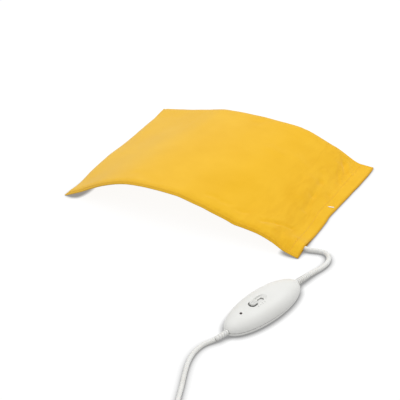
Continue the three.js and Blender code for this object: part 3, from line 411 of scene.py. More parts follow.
def joined(name, pieces):
    """One object from several: the meshes of all are put into the first."""
    with bpy.context.temp_override(active_object=pieces[0], selected_editable_objects=pieces,
                                   object=pieces[0], selected_objects=pieces):
        bpy.ops.object.join()
    pieces[0].name = pieces[0].data.name = name
    return pieces[0]


def worked_out(thing):
    """The mesh of a text, or of a piece with its modifiers."""
    graph = bpy.context.evaluated_depsgraph_get()
    return bpy.data.meshes.new_from_object(thing.evaluated_get(graph))


def cut(piece, cutters, sharp):
    """Takes the cutters' volume out of the piece with an exact boolean, applied to its mesh."""
    change = piece.modifiers.new("cut", "BOOLEAN")
    change.operation = "DIFFERENCE"
    change.solver = "EXACT"
    change.use_self = True
    change.object = joined("cutter", cutters)
    mesh = worked_out(piece)
    bpy.data.objects.remove(change.object)
    piece.modifiers.clear()
    old, piece.data = piece.data, mesh
    bpy.data.meshes.remove(old)
    mesh.name = piece.name
    shaded(mesh, sharp)


def finished(piece, material, replaces=(), body=PAD_BODY):
    """Gives a piece its material, slot and body, and the CAD nodes that it stands for."""
    piece.data.materials.clear()
    piece.data.materials.append(material)
    if replaces:
        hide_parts(*replaces)
    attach(piece, body)
    return piece


def ringed(name, rings, sharp, material, slot, *replaces, closed=False):
    """A finished piece through rings of points."""
    return finished(rings_piece(name, rings, closed, sharp), material, replaces)


# Materials

def linear(colour):
    """sRGB hex to linear: c / 12.92 up to 0.04045, and ((c + 0.055) / 1.055)^2.4 above."""
    parts = [int(colour[k:k + 2], 16) / 255 for k in (1, 3, 5)]
    return [c / 12.92 if c <= 0.04045 else ((c + 0.055) / 1.055) ** 2.4 for c in parts] + [1.0]


def per_metre(size):
    """A pattern's scale: how many times a size in millimetres goes into a metre."""
    return 1 / (size * MM)


def add(tree, kind, inputs=(), out=0, **settings):
    """Adds a node with its settings and links. Returns one of its outputs, or None where it has none.

    Inputs are in the node's order, or by number or name. Each is a socket to link from, a colour's hex or a
    value. A Mix of colours takes its share at 0 and its colours at 6 and 7, and gives its result at 2.
    """
    made = tree.nodes.new("ShaderNode" + kind)
    for key, value in settings.items():
        setattr(made, key, value)
    for key, value in inputs.items() if isinstance(inputs, dict) else enumerate(inputs):
        if isinstance(value, bpy.types.NodeSocket):
            tree.links.new(value, made.inputs[key])
        else:
            made.inputs[key].default_value = linear(value) if isinstance(value, str) else value
    return made.outputs[out] if made.outputs else None


def cleared(owner):
    """The node tree of a new material or world, emptied."""
    owner.use_nodes = True
    owner.node_tree.nodes.clear()
    return owner.node_tree


def new_material(name, colour):
    """An empty material, and its tree."""
    material = bpy.data.materials.new(name)
    material.diffuse_color = linear(colour)
    return material, cleared(material)


def sealed(material, ground, layers, height, relief, strength, **surface):
    """Closes a material: its colour, its bump and its shader.

    The colour starts as the ground, and each layer turns it to the layer's colour as its share goes from 0
    to 1. The height from 0 to 1 stands for a relief in millimetres.
    """
    tree = material.node_tree
    for share, colour in layers:
        ground = add(tree, "Mix", {0: share, 6: ground, 7: colour}, 2, data_type="RGBA")
    bump = add(tree, "Bump", {"Height": height, "Distance": relief * MM, "Strength": strength})
    shader = add(tree, "BsdfPrincipled", {**surface, "Base Color": ground, "Normal": bump})
    add(tree, "OutputMaterial", {"Surface": shader})
    return material


def crevice_dust(tree, width):
    """A layer of painted shade beside gaps that are narrower than the given millimetres, or no layer for 0.
    """
    if not width:
        return []
    # Painted shade: the colour turns dark grey where ambient occlusion finds a surface within the width
    openness = add(tree, "AmbientOcclusion", {"Distance": width * MM}, "AO", samples=8)
    return [(add(tree, "MapRange", (openness, 0.27, 0.72, 1.0, 0.0)), "#5c5b59")]


def woven_cotton(name, colour, deeper, paler, pitch):
    """Cotton canvas, plain weave, dyed in the piece: matt, with a short pale fuzz that shows at a slant.

    Warp and weft are about 0.5 mm apart on the real cloth. They are drawn at the given pitch, so that they
    show. The weave is (sin x sin y + 1) / 2, a full wave to two threads. Slubs are thick places 25 mm long.
    A painted sheen pales the colour from the sewn end, and painted shade darkens it in the creases before the
    hem and at the rims.
    """
    material, tree = new_material(name, colour)
    place = add(tree, "UVMap", uv_map="lengths")
    along, across = (add(tree, "SeparateXYZ", (place,), k) for k in (0, 1))
    turn = math.pi / (pitch * MM)
    warp, weft = (add(tree, "Math", (add(tree, "Math", (way, turn), operation="MULTIPLY"),),
                      operation="SINE") for way in (along, across))
    crossing = add(tree, "Math", (warp, weft), operation="MULTIPLY")
    weave = add(tree, "Math", (crossing, 0.5, 0.5), operation="MULTIPLY_ADD")
    lengthwise, crosswise, creases = (
        add(tree, "TexNoise", {
            "Vector": add(tree, "Mapping", {"Vector": place, "Scale": (per_metre(a), per_metre(b), 1.0)}),
            "Scale": 1.0, "Detail": 2.0, "Distortion": bend})
        for a, b, bend in ((25.0, 1.1111, 0.0), (1.1111, 25.0, 0.0), (10.526, 38.462, 0.6)))
    both = add(tree, "Math", (lengthwise, crosswise), operation="ADD")
    slubs = add(tree, "Math", (both, 0.5), operation="MULTIPLY")
    clouds = add(tree, "TexNoise", {
        "Vector": place, "Scale": per_metre(71.429), "Detail": 3.0, "Roughness": 0.55})
    # Painted sheen: the colour pales towards the sewn end, where light glances off the cloth
    painted_sheen = add(tree, "MapRange", (along, 20 * MM, 260 * MM, 0.16, 0.0))
    # Painted shade in the creases before the hem: a noise of deeper ochre between the given places along
    before_hem = add(tree, "Math", (
        add(tree, "MapRange", (along, 280 * MM, 340 * MM, 0.0, 1.0)),
        add(tree, "MapRange", (along, 374 * MM, 384 * MM, 1.0, 0.25))), operation="MULTIPLY")
    creased = add(tree, "MapRange", (creases, 0.42, 0.66, 0.0, 0.24))
    fold_shade = add(tree, "Math", (creased, before_hem), operation="MULTIPLY")
    # Painted shade at the rims: the free end and the front edge turn darker ochre
    rim = add(tree, "Math", (
        add(tree, "MapRange", (along, 396.5 * MM, PAD_LENGTH * MM, 0.0, 0.55)),
        add(tree, "MapRange", (across, -HALF_WIDTH * MM, -143.5 * MM, 0.3, 0.0))), operation="MAXIMUM")
    layers = (
        (add(tree, "MapRange", (clouds, 0.3, 0.7, 0.0, 1.0)), paler),
        (add(tree, "MapRange", (slubs, 0.38, 0.62, 0.0, 0.5)), colour),
        (add(tree, "MapRange", (weave, 0.0, 1.0, 0.10, 0.0)), deeper),
        (painted_sheen, "#ffdd8c"), (fold_shade, "#e0a010"), (rim, "#b8801c"),
    )
    cloth = add(tree, "Math", (slubs, 0.6, weave), operation="MULTIPLY_ADD")
    return sealed(material, deeper, layers, cloth, 0.22, 0.5, **{
        "Roughness": 0.92, "Specular IOR Level": 0.1, "Sheen Weight": 0.45, "Sheen Roughness": 0.35,
        "Sheen Tint": "#fff3cf"})


def brushed_fleece(name, colour, deeper):
    """Needled polyester fleece: soft, with a tangle of fibres in tufts of 1.4 mm and no shine."""
    material, tree = new_material(name, colour)
    place = add(tree, "TexCoord", out="Object")
    tangle = add(tree, "TexNoise", {"Vector": place, "Scale": per_metre(1.4286), "Detail": 4.0})
    return sealed(material, deeper, [(tangle, colour)], tangle, 0.4, 0.5, **{
        "Roughness": 0.97, "Specular IOR Level": 0.2, "Sheen Weight": 0.3})


def moulded_plastic(name, colour, deeper, roughness, grain, depth, crevice=0.0, **surface):
    """Injection moulded plastic: even colour, a fine spark-eroded grain, gloss that varies a little.

    The grain is the mould's texture, in millimetres. The variation is the slow flow of the melt, about 45 mm
    wide. A crevice above 0 is how far, in millimetres, painted shade darkens the plastic beside a narrow gap.
    """
    material, tree = new_material(name, colour)
    place = add(tree, "TexCoord", out="Object")
    flow = add(tree, "TexNoise", {"Vector": place, "Scale": per_metre(45.4545), "Detail": 2.0})
    spark = add(tree, "TexNoise", {
        "Vector": place, "Scale": per_metre(grain), "Detail": 3.0, "Roughness": 0.6})
    layers = [(add(tree, "MapRange", (flow, 0.3, 0.7, 0.0, 1.0)), colour), *crevice_dust(tree, crevice)]
    gloss = add(tree, "MapRange", (flow, 0.3, 0.7, roughness + 0.04, roughness - 0.04))
    return sealed(material, deeper, layers, spark, depth, 0.6, **{
        "IOR": 1.52, "Roughness": gloss, **surface})


def drawn_metal(name, colour, deeper, roughness, scratch):
    """Turned or drawn metal: bright, with fine marks round it, a touch duller in spots of 3 mm."""
    material, tree = new_material(name, colour)
    place = add(tree, "TexCoord", out="Object")
    round_it = add(tree, "Mapping", {"Vector": place, "Scale": (1.0, 1.0, 6.0)})
    marks = add(tree, "TexNoise", {"Vector": round_it, "Scale": per_metre(scratch), "Detail": 3.0})
    dull = add(tree, "TexNoise", {"Vector": place, "Scale": per_metre(3.3333), "Detail": 2.0})
    gloss = add(tree, "MapRange", (marks, 0.3, 0.7, roughness - 0.08, roughness + 0.08))
    return sealed(material, deeper, [(dull, colour)], marks, 0.02, 0.4, Metallic=1.0, Roughness=gloss)


def extruded_vinyl(name, colour, deeper, crevice=0.0):
    """Soft PVC jacket: satin, with a faint drag of 0.7 mm from the die, and painted shade that gathers in
    hollows.
    """
    material, tree = new_material(name, colour)
    place = add(tree, "TexCoord", out="Object")
    dust = add(tree, "TexNoise", {"Vector": place, "Scale": per_metre(18.1818), "Detail": 3.0})
    drag = add(tree, "TexNoise", {"Vector": place, "Scale": per_metre(0.714286), "Detail": 1.0})
    layers = [(add(tree, "MapRange", (dust, 0.35, 0.7, 0.0, 1.0)), deeper), *crevice_dust(tree, crevice)]
    return sealed(material, colour, layers, drag, 0.03, 0.5, **{
        "Roughness": add(tree, "MapRange", (dust, 0.3, 0.7, 0.40, 0.52)), "IOR": 1.53,
        "Subsurface Weight": 0.08, "Subsurface Radius": (1.0, 0.9, 0.8), "Subsurface Scale": 1.2 * MM})


def board_laminate(name, mask):
    """Glass-epoxy laminate under a green solder mask, its cells 1.4 mm wide and its tracks 6 mm apart."""
    material, tree = new_material(name, mask)
    place = add(tree, "TexCoord", out="Object")
    cells = add(tree, "TexVoronoi", {"Vector": place, "Scale": per_metre(1.4286)})
    tracks = add(tree, "TexBrick", {
        "Vector": place, "Scale": per_metre(6.25), "Color1": mask, "Color2": "#418255",
        "Mortar": "#2c6340", "Mortar Size": 0.03})
    gloss = add(tree, "MapRange", (cells, 0.0, 1.0, 0.35, 0.5))
    return sealed(material, tracks, (), cells, 0.03, 0.4, IOR=1.5, Roughness=gloss)


cover_cotton = woven_cotton("yellow cotton canvas", "#f5bf2b", "#f0b926", "#f8c434", 1.1)
thread_cotton = woven_cotton("yellow cotton thread", "#f3be3e", "#e3a92c", "#f6c64c", 0.5)
tack_cotton = brushed_fleece("white cotton thread", "#fffdf8", "#f4efe6")
pad_fleece = brushed_fleece("needled polyester fleece", "#f1ede2", "#dfd9ca")
# For shell_abs, knob_abs and boot_vinyl the last number is how far painted shade reaches beside narrow gaps
shell_abs = moulded_plastic("moulded ABS, warm white", "#eeeeeb", "#eaeae6", 0.36, 0.5, 0.02, 2.2)
knob_abs = moulded_plastic("moulded ABS, slide knob", "#ececea", "#e4e4e0", 0.42, 0.4, 0.03, 3.0)
print_ink = moulded_plastic("pad-printed grey ink", "#8a8a89", "#949493", 0.6, 0.3, 0.01)
dark_nylon = moulded_plastic("moulded nylon, black", "#33343a", "#2b2c31", 0.55, 0.5, 0.03)
cord_vinyl = extruded_vinyl("extruded PVC cord, white", "#f0f0ed", "#e7e6e1")
boot_vinyl = extruded_vinyl("moulded PVC boot, white", "#f0f0ed", "#e4e3de", 1.8)
sleeve_silicone = moulded_plastic("silicone rubber sleeve, orange", "#c96f3a", "#b9622f", 0.55, 0.5, 0.02)
plated_steel = drawn_metal("nickel plated steel", "#c4c5c8", "#aeb0b4", 0.28, 0.25)
tinned_copper = drawn_metal("tinned copper", "#c98f5a", "#b57a48", 0.34, 0.2)
laminate = board_laminate("glass-epoxy board laminate", "#3c7a4e")
smoked_lens = moulded_plastic("smoked polycarbonate lens", "#54403e", "#473332", 0.16, 0.6, 0.004,
                              **{"IOR": 1.58, "Transmission Weight": 0.35})
lamp_epoxy = moulded_plastic("clear epoxy lamp", "#d9cfcf", "#cbbfbf", 0.2, 0.6, 0.004,
                             **{"Transmission Weight": 0.4})
ceramic_tan = moulded_plastic("dipped ceramic body", "#c9a36a", "#bb9459", 0.45, 0.5, 0.03)

# The CAD nodes that are kept as they are, by the starts of their names
for made, starts in (
    (dark_nylon, ("switch_tray", "switch_carrier", "triac", "diode", "pad_cord_clamp", "mains_cord_clamp",
                  "thermal_cutout")),
    (plated_steel, ("shell_screw", "board_screw", "clamp_screw", "fuse")),
    (tinned_copper, ("contact_strip", "switch_wiper", "pad_lead", "mains_lead")),
    (laminate, ("circuit_board",)),
    (ceramic_tan, ("capacitor", "resistor")),
    (smoked_lens, ("indicator_lens",)),
    (lamp_epoxy, ("indicator_lamp",)),
):
    for name in nodes:
        if name.startswith(starts):
            for holder in nodes[name].material_slots:
                holder.material = made


# Camera, light and floor

CAMERA_TURN = math.radians(27.266)
CAMERA_LIFT = math.radians(30.671)
CAMERA_PLACE = (523.48, -1024.03, 701.28)
LAMP_AIM = (0.03, -0.05, 0.02)
LAMP_DISTANCE = 2.0
FLOOR_HALF = 6000.0

# How strongly the paper glows as a light on the pieces
PAPER_BOUNCE = 0.40


def faced(thing, place, away):
    """Puts a camera or lamp at a place in metres, with its back to the direction away."""
    thing.location = place
    thing.rotation_euler = (-away).to_track_quat("-Z", "Y").to_euler()


def lamp(name, towards, energy, size):
    """A square area lamp in a direction from the pad, energy in watts and size in metres."""
    data = bpy.data.lights.new(name, "AREA")
    data.energy = energy
    data.size = size
    direction = Vector(towards).normalized()
    faced(in_scene(name, data), Vector(LAMP_AIM) + direction * LAMP_DISTANCE, direction)


camera_data = bpy.data.cameras.new("camera")
camera_data.lens = 81.0
camera_data.sensor_width = 36.0
camera_data.clip_end = 20.0
camera = in_scene("camera", camera_data)
faced(camera, Vector(CAMERA_PLACE) * MM, Vector((
    math.sin(CAMERA_TURN) * math.cos(CAMERA_LIFT), -math.cos(CAMERA_TURN) * math.cos(CAMERA_LIFT),
    math.sin(CAMERA_LIFT))))
bpy.context.scene.camera = camera
bpy.context.scene.view_settings.view_transform = "Standard"
lamp("key", (0.42, 0.5, 1.0), 7.4, 1.0)
lamp("fill", (-0.35, 0.1, 1.0), 6.0, 1.5)


def seen_rays(tree):
    """1 for rays that show the surroundings, straight, mirrored or through a clear piece, else 0."""
    straight, mirrored, through = (add(tree, "LightPath", out=kind) for kind in (
        "Is Camera Ray", "Is Glossy Ray", "Is Transmission Ray"))
    either = add(tree, "Math", (straight, mirrored), operation="MAXIMUM")
    return add(tree, "Math", (either, through), operation="MAXIMUM")


def studio_world():
    """White to the eye. As light it goes from 0.52 at the horizon to 0.88 overhead."""
    world = bpy.data.worlds.new("studio")
    tree = cleared(world)
    height = add(tree, "SeparateXYZ", (add(tree, "TexCoord", out="Generated"),), 2)
    soft = add(tree, "MapRange", (height, 0.0, 1.0, 0.52, 0.88))
    level = add(tree, "Mix", {0: seen_rays(tree), 2: soft, 3: 1.0})
    sky = add(tree, "Background", {"Color": "#ffffff", "Strength": level})
    add(tree, "OutputWorld", {"Surface": sky})
    return world


def paper_floor():
    """White studio paper: it keeps the object's shadow, and looks white where nothing shades it.

    To the eye its glow falls from 0.92 to 0.26 where something within 9 mm closes off the sky, as a painted
    contact shadow. Its fibre is drawn 1.1 mm wide, far coarser than real paper's, so that it shows.
    """
    material = bpy.data.materials.new("white studio paper")
    tree = cleared(material)
    place = add(tree, "TexCoord", out="Object")
    fibre = add(tree, "TexNoise", {"Vector": place, "Scale": per_metre(1.1111), "Detail": 3.0})
    tint = add(tree, "Mix", {0: fibre, 6: "#5e5e5e", 7: "#626262"}, 2, data_type="RGBA")
    paper = add(tree, "BsdfDiffuse", {"Color": tint})
    open_sky = add(tree, "AmbientOcclusion", {"Distance": 9.0 * MM}, "AO", samples=16)
    to_the_eye = add(tree, "MapRange", (open_sky, 0.50, 0.985, 0.26, 0.92))
    bright = add(tree, "Mix", {0: seen_rays(tree), 2: PAPER_BOUNCE, 3: to_the_eye})
    glow = add(tree, "Emission", {"Color": "#ffffff", "Strength": bright})
    both = add(tree, "AddShader", (paper, glow))
    add(tree, "OutputMaterial", {"Surface": both})
    return material


bpy.context.scene.world = studio_world()
side = np.linspace(-FLOOR_HALF, FLOOR_HALF, 3)
floor = make_piece("floor", stack(side[:, None], side[None, :], 0.0), grid_faces(3, 3)[:, ::-1])
floor.data.materials.append(paper_floor())


# Boots and cords

def ribbed_radius(share, ribs, root, tip):
    """A taper from root to tip, with ribs that swell as the fourth root of a sine's upper part.

    The ribs fade to half towards the tip, and between them the moulding is cut down nearly to the cord.
    """
    wave = np.clip(np.sin(2 * math.pi * (share * ribs - 0.05)) + 0.25, 0, 1) ** 0.25
    outer = root + (tip - root) * share + RIB_PROUD * (1 - share / 2)
    core = tip + 0.05
    return core + (outer - core) * wave


def boot_piece(name, node, sign, radius, length, ribs, lift, side):
    """A strain relief: a stub in the shell, a flange behind the wall, a neck through it, then ribs.

    The ribbed part follows a quadratic curve: (1-t)^2 A + 2 t (1-t) B + t^2 C.
    """
    root = SHELL_HALF + GAP
    neck = radius + NECK_PROUD
    wide = radius + FLANGE_PROUD
    outer_face = SHELL_HALF - WALL - FLANGE_INSET
    inner_face = outer_face - FLANGE_THICKNESS
    inner = np.array([(BOOT_STUB, radius), (inner_face, radius), (inner_face, wide), (outer_face, wide),
                      (outer_face, neck), (root, neck)])
    t = np.linspace(0, 1, ribs * 12 + 1)[1:]
    a, b, c = np.array([(root, 0.0, EXIT_HEIGHT), (root + length / 2, 0.0, EXIT_HEIGHT),
                        (root + length, side, EXIT_HEIGHT + lift)])
    bend = (1 - t[:, None]) ** 2 * a + 2 * (t * (1 - t))[:, None] * b + t[:, None] ** 2 * c
    path = np.vstack([stack(inner[:, 0], 0.0, EXIT_HEIGHT), bend])
    size = np.concatenate([inner[:, 1], ribbed_radius(t, ribs, neck, radius)])
    rings = stepped_rings(path, size, BOOT_SIDES) * [sign, sign, 1.0]
    return ringed(name, in_controller(rings), 50, boot_vinyl, "cord_vinyl", node)


pad_boot = boot_piece("pad_cord_relief", "pad_cord_boot", 1, PAD_CORD_RADIUS, 24.0, 7, -1.6, 0.0)
mains_boot = boot_piece("mains_cord_relief", "mains_cord_boot", -1, MAINS_CORD_RADIUS, 17.0, 5, -2.2, -3.0)

# The pad cord's first 6 mm, hidden in the cover, swell from half its size
pad_line, pad_run = smooth_line(PAD_CORD_ROUTE, 1.5)
pad_size = PAD_CORD_RADIUS * (0.5 + 0.5 * roll(pad_run + 0.5, 6.0))
pad_lead = ringed("pad_lead_cord", tube_rings(pad_line, pad_size, 24), 50, cord_vinyl, "cord_vinyl",
                  "pad_cord")

mains_line, mains_run = smooth_line(np.vstack([MAINS_ROUTE, coil_points(), TAIL_ROUTE]), 2.2)
mains_lead = ringed("mains_lead_cord", tube_rings(mains_line, MAINS_CORD_RADIUS, 18), 50,
                    cord_vinyl, "cord_vinyl", "mains_cord", "mains_coil", "mains_tail")


def tie_band():
    """A strap round the turns: a flat section carried round a superellipse of power 0.28."""
    half = COIL_PITCH * (COIL_TURNS / COIL_LAYERS) / 2 + MAINS_CORD_RADIUS + TIE_CLEARANCE
    tall = COIL_PITCH * (COIL_LAYERS - 1) / 2 + MAINS_CORD_RADIUS + TIE_CLEARANCE
    base = COIL_LIFT - 0.35
    x, z = squared_circle(round_turn(96), 0.28)
    rings = [stack(COIL_RADIUS + x * (half + grow), width, base + tall + z * (tall + grow))
             for width, grow in ((-TIE_HALF_WIDTH, 0.0), (TIE_HALF_WIDTH, 0.0),
                                 (TIE_HALF_WIDTH, TIE_THICKNESS), (-TIE_HALF_WIDTH, TIE_THICKNESS))]
    return placed(rings, TIE_ANGLE, COIL_CENTRE)


tie = ringed("coil_strap", tie_band(), 40, dark_nylon, "dark_plastic", "coil_tie", closed=True)


# The plug

def plug_moulding():
    """Sections |y/w|^4 + |z/t|^4 = 1 along the plug: full at its face, eased in to the cord.

    Both ends are rolled over. The grip grooves are bells 0.5 mm deep.
    """
    share = np.concatenate([np.linspace(0, 0.06, 8), np.linspace(0.08, 0.92, 60), np.linspace(0.94, 1, 8)])
    share = share[:, None]
    edge = 1 - roll(np.minimum(share, 1 - share) * PLUG_LENGTH, 2.0)
    half_width = (PLUG_WIDTH + (PLUG_TAIL - PLUG_WIDTH) * ease((share - 0.28) / 0.62)) / 2 - 2.0 * edge
    groove = 0.5 * bell((share - GRIP_PLACE_SHARES) * PLUG_LENGTH, 0.7).sum(1, keepdims=True)
    y, z = squared_circle(round_turn(64), 0.5)
    half_thick = PLUG_THICKNESS / 2 - 1.6 * edge
    return in_plug(stack(-share * PLUG_LENGTH, (half_width - groove) * y,
                         PLUG_THICKNESS / 2 + half_thick * z))


def plug_relief_rings():
    """A collar sunk in the moulding, then ribs along the cord."""
    share = np.linspace(0, 1, 73)
    start = -PLUG_LENGTH - GAP
    x = np.concatenate([[6.0 - PLUG_LENGTH, start + 0.01], start - share * (RELIEF_END - GAP)])
    ribs = ribbed_radius(share, RELIEF_RIBS, MAINS_CORD_RADIUS + NECK_PROUD, MAINS_CORD_RADIUS)
    size = np.concatenate([np.full(2, MAINS_CORD_RADIUS + 1.1), ribs])
    return in_plug(stepped_rings(stack(x, 0.0, PLUG_THICKNESS / 2), size, BOOT_SIDES))


def pin_rings(side, x, radius):
    """Round sections about a pin's axis, at places from the plug's face outwards, with a radius for each."""
    turn = round_turn(32)
    size = np.asarray(radius)[:, None]
    return in_plug(stack(np.asarray(x)[:, None], side * PIN_PITCH / 2 + size * np.cos(turn),
                         PLUG_THICKNESS / 2 + size * np.sin(turn)))


plug = ringed("plug_moulding", plug_moulding(), 40, boot_vinyl, "cord_vinyl", "plug_body")
plug_relief = ringed("plug_relief", plug_relief_rings(), 50, boot_vinyl, "cord_vinyl", "plug_boot")

# Each pin is bare metal with a round tip, and an insulating sleeve next to the plug
tip_turn = np.linspace(0.2, 1.5, 7)
pin_places = [-PIN_ROOT, PIN_LENGTH - PIN_TIP, *(PIN_LENGTH - PIN_TIP + PIN_TIP * np.sin(tip_turn))]
pin_sizes = [PIN_RADIUS, PIN_RADIUS, *(PIN_RADIUS - 1.0 * (1 - np.cos(tip_turn)))]
sleeve_places = [0.01, PIN_SLEEVE, PIN_SLEEVE, 0.01]
sleeve_sizes = [PIN_RADIUS + 0.08, PIN_RADIUS + 0.08, PIN_RADIUS - 0.1, PIN_RADIUS - 0.1]
for number, side_sign in ((1, -1), (2, 1)):
    ringed(f"contact_pin_{number}", pin_rings(side_sign, pin_places, pin_sizes), 40,
                       plated_steel, "steel", f"plug_pin_{number}")
    ringed(f"pin_sleeve_{number}", pin_rings(side_sign, sleeve_places, sleeve_sizes), 40,
                       dark_nylon, "dark_plastic", closed=True)


# The pad

def edge_table(wave_shares, lift):
    """One long edge: z = lift (1-s)^2 + rise * sum of w_k sin(k pi s), and x that keeps its length."""
    share = np.linspace(0, 1, PROFILE_STEPS + 1)
    height = lift * (1 - share) ** 2 + ARCH_RISE * sum(
        wave * np.sin((k + 1) * math.pi * share) for k, wave in enumerate(wave_shares))
    step = PAD_LENGTH / PROFILE_STEPS
    reach = np.concatenate([[0], np.cumsum(np.sqrt(np.maximum(step ** 2 - np.diff(height) ** 2, 0)))])
    return share * PAD_LENGTH, reach - reach[-1] / 2, height


def gentle(width, *pairs):
    """A table of places and amounts, averaged under a raised cosine of the width."""
    place = np.arange(pairs[0][0], pairs[-1][0] + 1.0)
    weight = np.hanning(width + 3)[1:-1]
    wide = np.pad(np.interp(place, *np.transpose(pairs)), len(weight) // 2, mode="edge")
    return place, np.convolve(wide, weight / weight.sum(), mode="valid")


FRONT = edge_table(FRONT_WAVE_SHARES, 0.0)
BACK = edge_table(BACK_WAVE_SHARES, CORNER_LIFT)

# Small waves of the cloth's edges that the photograph shows: place along the edge, and how far it moves
BACK_SAG = gentle(
    8, (0, -2.0), (20, -1.3), (40, -1.1), (60, -2.6), (80, -3.8), (95, -4.8), (110, -4.3), (126, -3.2),
    (142, -3.4), (156, -2.6), (171, -2.2), (186, -1.7), (200, -1.5), (215, -2.6), (230, -3.5),
    (245, -3.7), (260, -3.5), (288, -3.4), (303, -3.4), (320, -2.0), (336, -0.2), (350, -1.1),
    (358, -2.4), (365, -4.2), (372, -4.7), (378, -4.2), (384, -2.9), (392, -1.2), (400, 0.0))
FRONT_SAG = gentle(
    10, (0, 0.0), (30, -0.8), (66, 0.8), (97, 0.7), (115, 0.0), (140, -1.8), (153, -2.2), (166, -2.3),
    (180, -1.7), (193, -0.8), (206, 0.6), (232, 0.2), (246, 0.7), (259, -0.2), (285, -0.8),
    (297, -2.4), (310, -0.3), (323, 1.3), (336, 2.6), (348, 2.3), (361, 1.2), (374, -1.6),
    (387, -1.2), (400, 0.0))
LEFT_SAG = gentle(
    16, (-150, 0.0), (-135, -1.5), (-118, -2.6), (-105, -2.4), (-88, -1.4), (-60, -0.2), (-32, 1.0),
    (0, 0.4), (35, 1.4), (60, 2.1), (88, 1.0), (115, -1.7), (150, 0.0))
LEFT_SHIFT = gentle(
    10, (-150, 0.0), (-130, 1.8), (-115, 2.4), (-100, 1.6), (-85, 0.6), (-60, 0.0), (150, 0.0))
RIGHT_SHIFT = gentle(
    6, (-150, -0.8), (-126, -2.0), (-105, -2.4), (-84, -1.6), (-64, -1.6), (-43, -2.2), (-30, -3.6),
    (-18, -3.2), (-4, -2.2), (19, -1.3), (40, 0.0), (60, 0.5), (81, 2.0), (102, 2.4), (122, 3.0),
    (143, 2.6), (150, 1.5))

# Two corners lie a little further in: how far across, and over what length
FRONT_LEFT = (-3.0, 60.0)
BACK_RIGHT = (-4.0, 40.0)

# At its free end the arch swells along the front third of the width and dips behind that
END_REACH = 110.0
END_SWELL = 1.6
END_DIP = 4.6
SWELL_SHARE = 0.36

# Folds in the cloth: start along and across, end along and across, half width, height
FOLD_HEIGHT_SCALE = 1.4
FOLDS = (
    (352, 134, 358, 118, 4.5, -1.1), (358, 124, 372, 96, 3.0, -1.5), (371, 94, 377, 80, 3.0, -1.0),
    (364, 128, 378, 104, 3.5, 0.9), (360, 92, 372, 66, 3.0, -0.8), (350, 108, 358, 88, 4.0, 0.7),
    (346, 60, 352, 36, 6.0, -1.0), (351, 40, 357, -4, 5.5, -1.2), (357, -3, 363, -46, 5.0, -1.1),
    (338, 30, 344, -24, 7.0, 0.7), (328, -124, 347, -112, 3.5, -1.2), (346, -112, 366, -101, 3.0, -1.0),
    (334, -133, 350, -127, 4.5, 0.8), (384, -124, 385, -131, 3.5, -0.9), (384, -141, 385, -149, 3.5, -0.9),
    (300, 60, 312, 54, 9.0, 0.6), (255, 52, 272, 48, 10.0, 0.6), (240, -124, 253, -121, 4.5, -0.9),
    (262, -124, 274, -121, 4.5, -0.8), (288, -125, 301, -120, 4.5, -0.9),
    (378, -60, 392, -75, 5.0, -0.8), (376, 20, 394, 2, 5.0, -0.7), (120, -120, 160, -138, 9.0, -0.6),
    (200, 120, 215, 146, 9.0, -0.6), (18, 60, 32, -20, 12.0, 0.6),
)

# Fixed random waves: amount, direction, length and phase, and for the puckers amount, length and phase
random = np.random.default_rng(SEED)
WAVES = [(random.uniform(0.5, 1.0), random.uniform(0, math.pi), random.uniform(35, 95),
          random.uniform(0, 6.28)) for _ in range(10)]
PUCKERS = [(random.uniform(0.6, 1.0), wavelength, random.uniform(0, 6.28))
           for wavelength in (7.0, 9.5, 13.0, 17.0, 23.0)]

# The cover's mesh has this many points round an edge. Its seams are grooves so far from the edge, so wide
EDGE_POINTS = 5
SEAM_LINE = 4.8
SEAM_WIDTH = 1.5

# The hem's stitching, and the bar tack: where it starts and how far it goes, along and across
HEM_STITCHES = 385.5
HEM_SLANT = 7.0
HEM_WANDER = 0.5
STITCH_LENGTH = 2.6
STITCH_GAP = 0.9
THREAD_RADIUS = 0.28
TACK_START = (387.6, -8.6)
TACK_REACH = (8.0, 5.4)
TACK_LIFT = 0.35
TACK_END_RADIUS = 0.25
TACK_SWELL = 0.95
TACK_FLATNESS = 0.45


def middle(u, v):
    """The pad's middle surface: straight lines from the front edge's curve to the back edge's.

    The small waves of each edge are added to it and ease out away from that edge.
    """
    back = v / PAD_WIDTH + 0.5
    x = (1 - back) * np.interp(u, FRONT[0], FRONT[1]) + back * (np.interp(u, BACK[0], BACK[1]) + BACK_SHIFT)
    z = (1 - back) * np.interp(u, FRONT[0], FRONT[2]) + back * np.interp(u, BACK[0], BACK[2]) + SEAM_HALF
    swell = END_SWELL * np.sin(math.pi * np.clip(back / SWELL_SHARE, 0, 1))
    dip = END_DIP * np.sin(math.pi * np.clip((back - SWELL_SHARE) / (1 - SWELL_SHARE), 0, 1)) ** 2
    z = z + ease(1 - u / END_REACH) * (swell - dip)
    z = z + np.interp(u, *BACK_SAG) * ease((back - 0.35) / 0.65)
    z = z + np.interp(u, *FRONT_SAG) * ease(1 - back / 0.4)
    z = z + np.interp(v, *LEFT_SAG) * ease(1 - u / 90)
    x = x + np.interp(v, *LEFT_SHIFT) * ease(1 - u / 60) + np.interp(v, *RIGHT_SHIFT) * ease((u - 350) / 50)
    return x, np.maximum(z, SEAM_HALF)


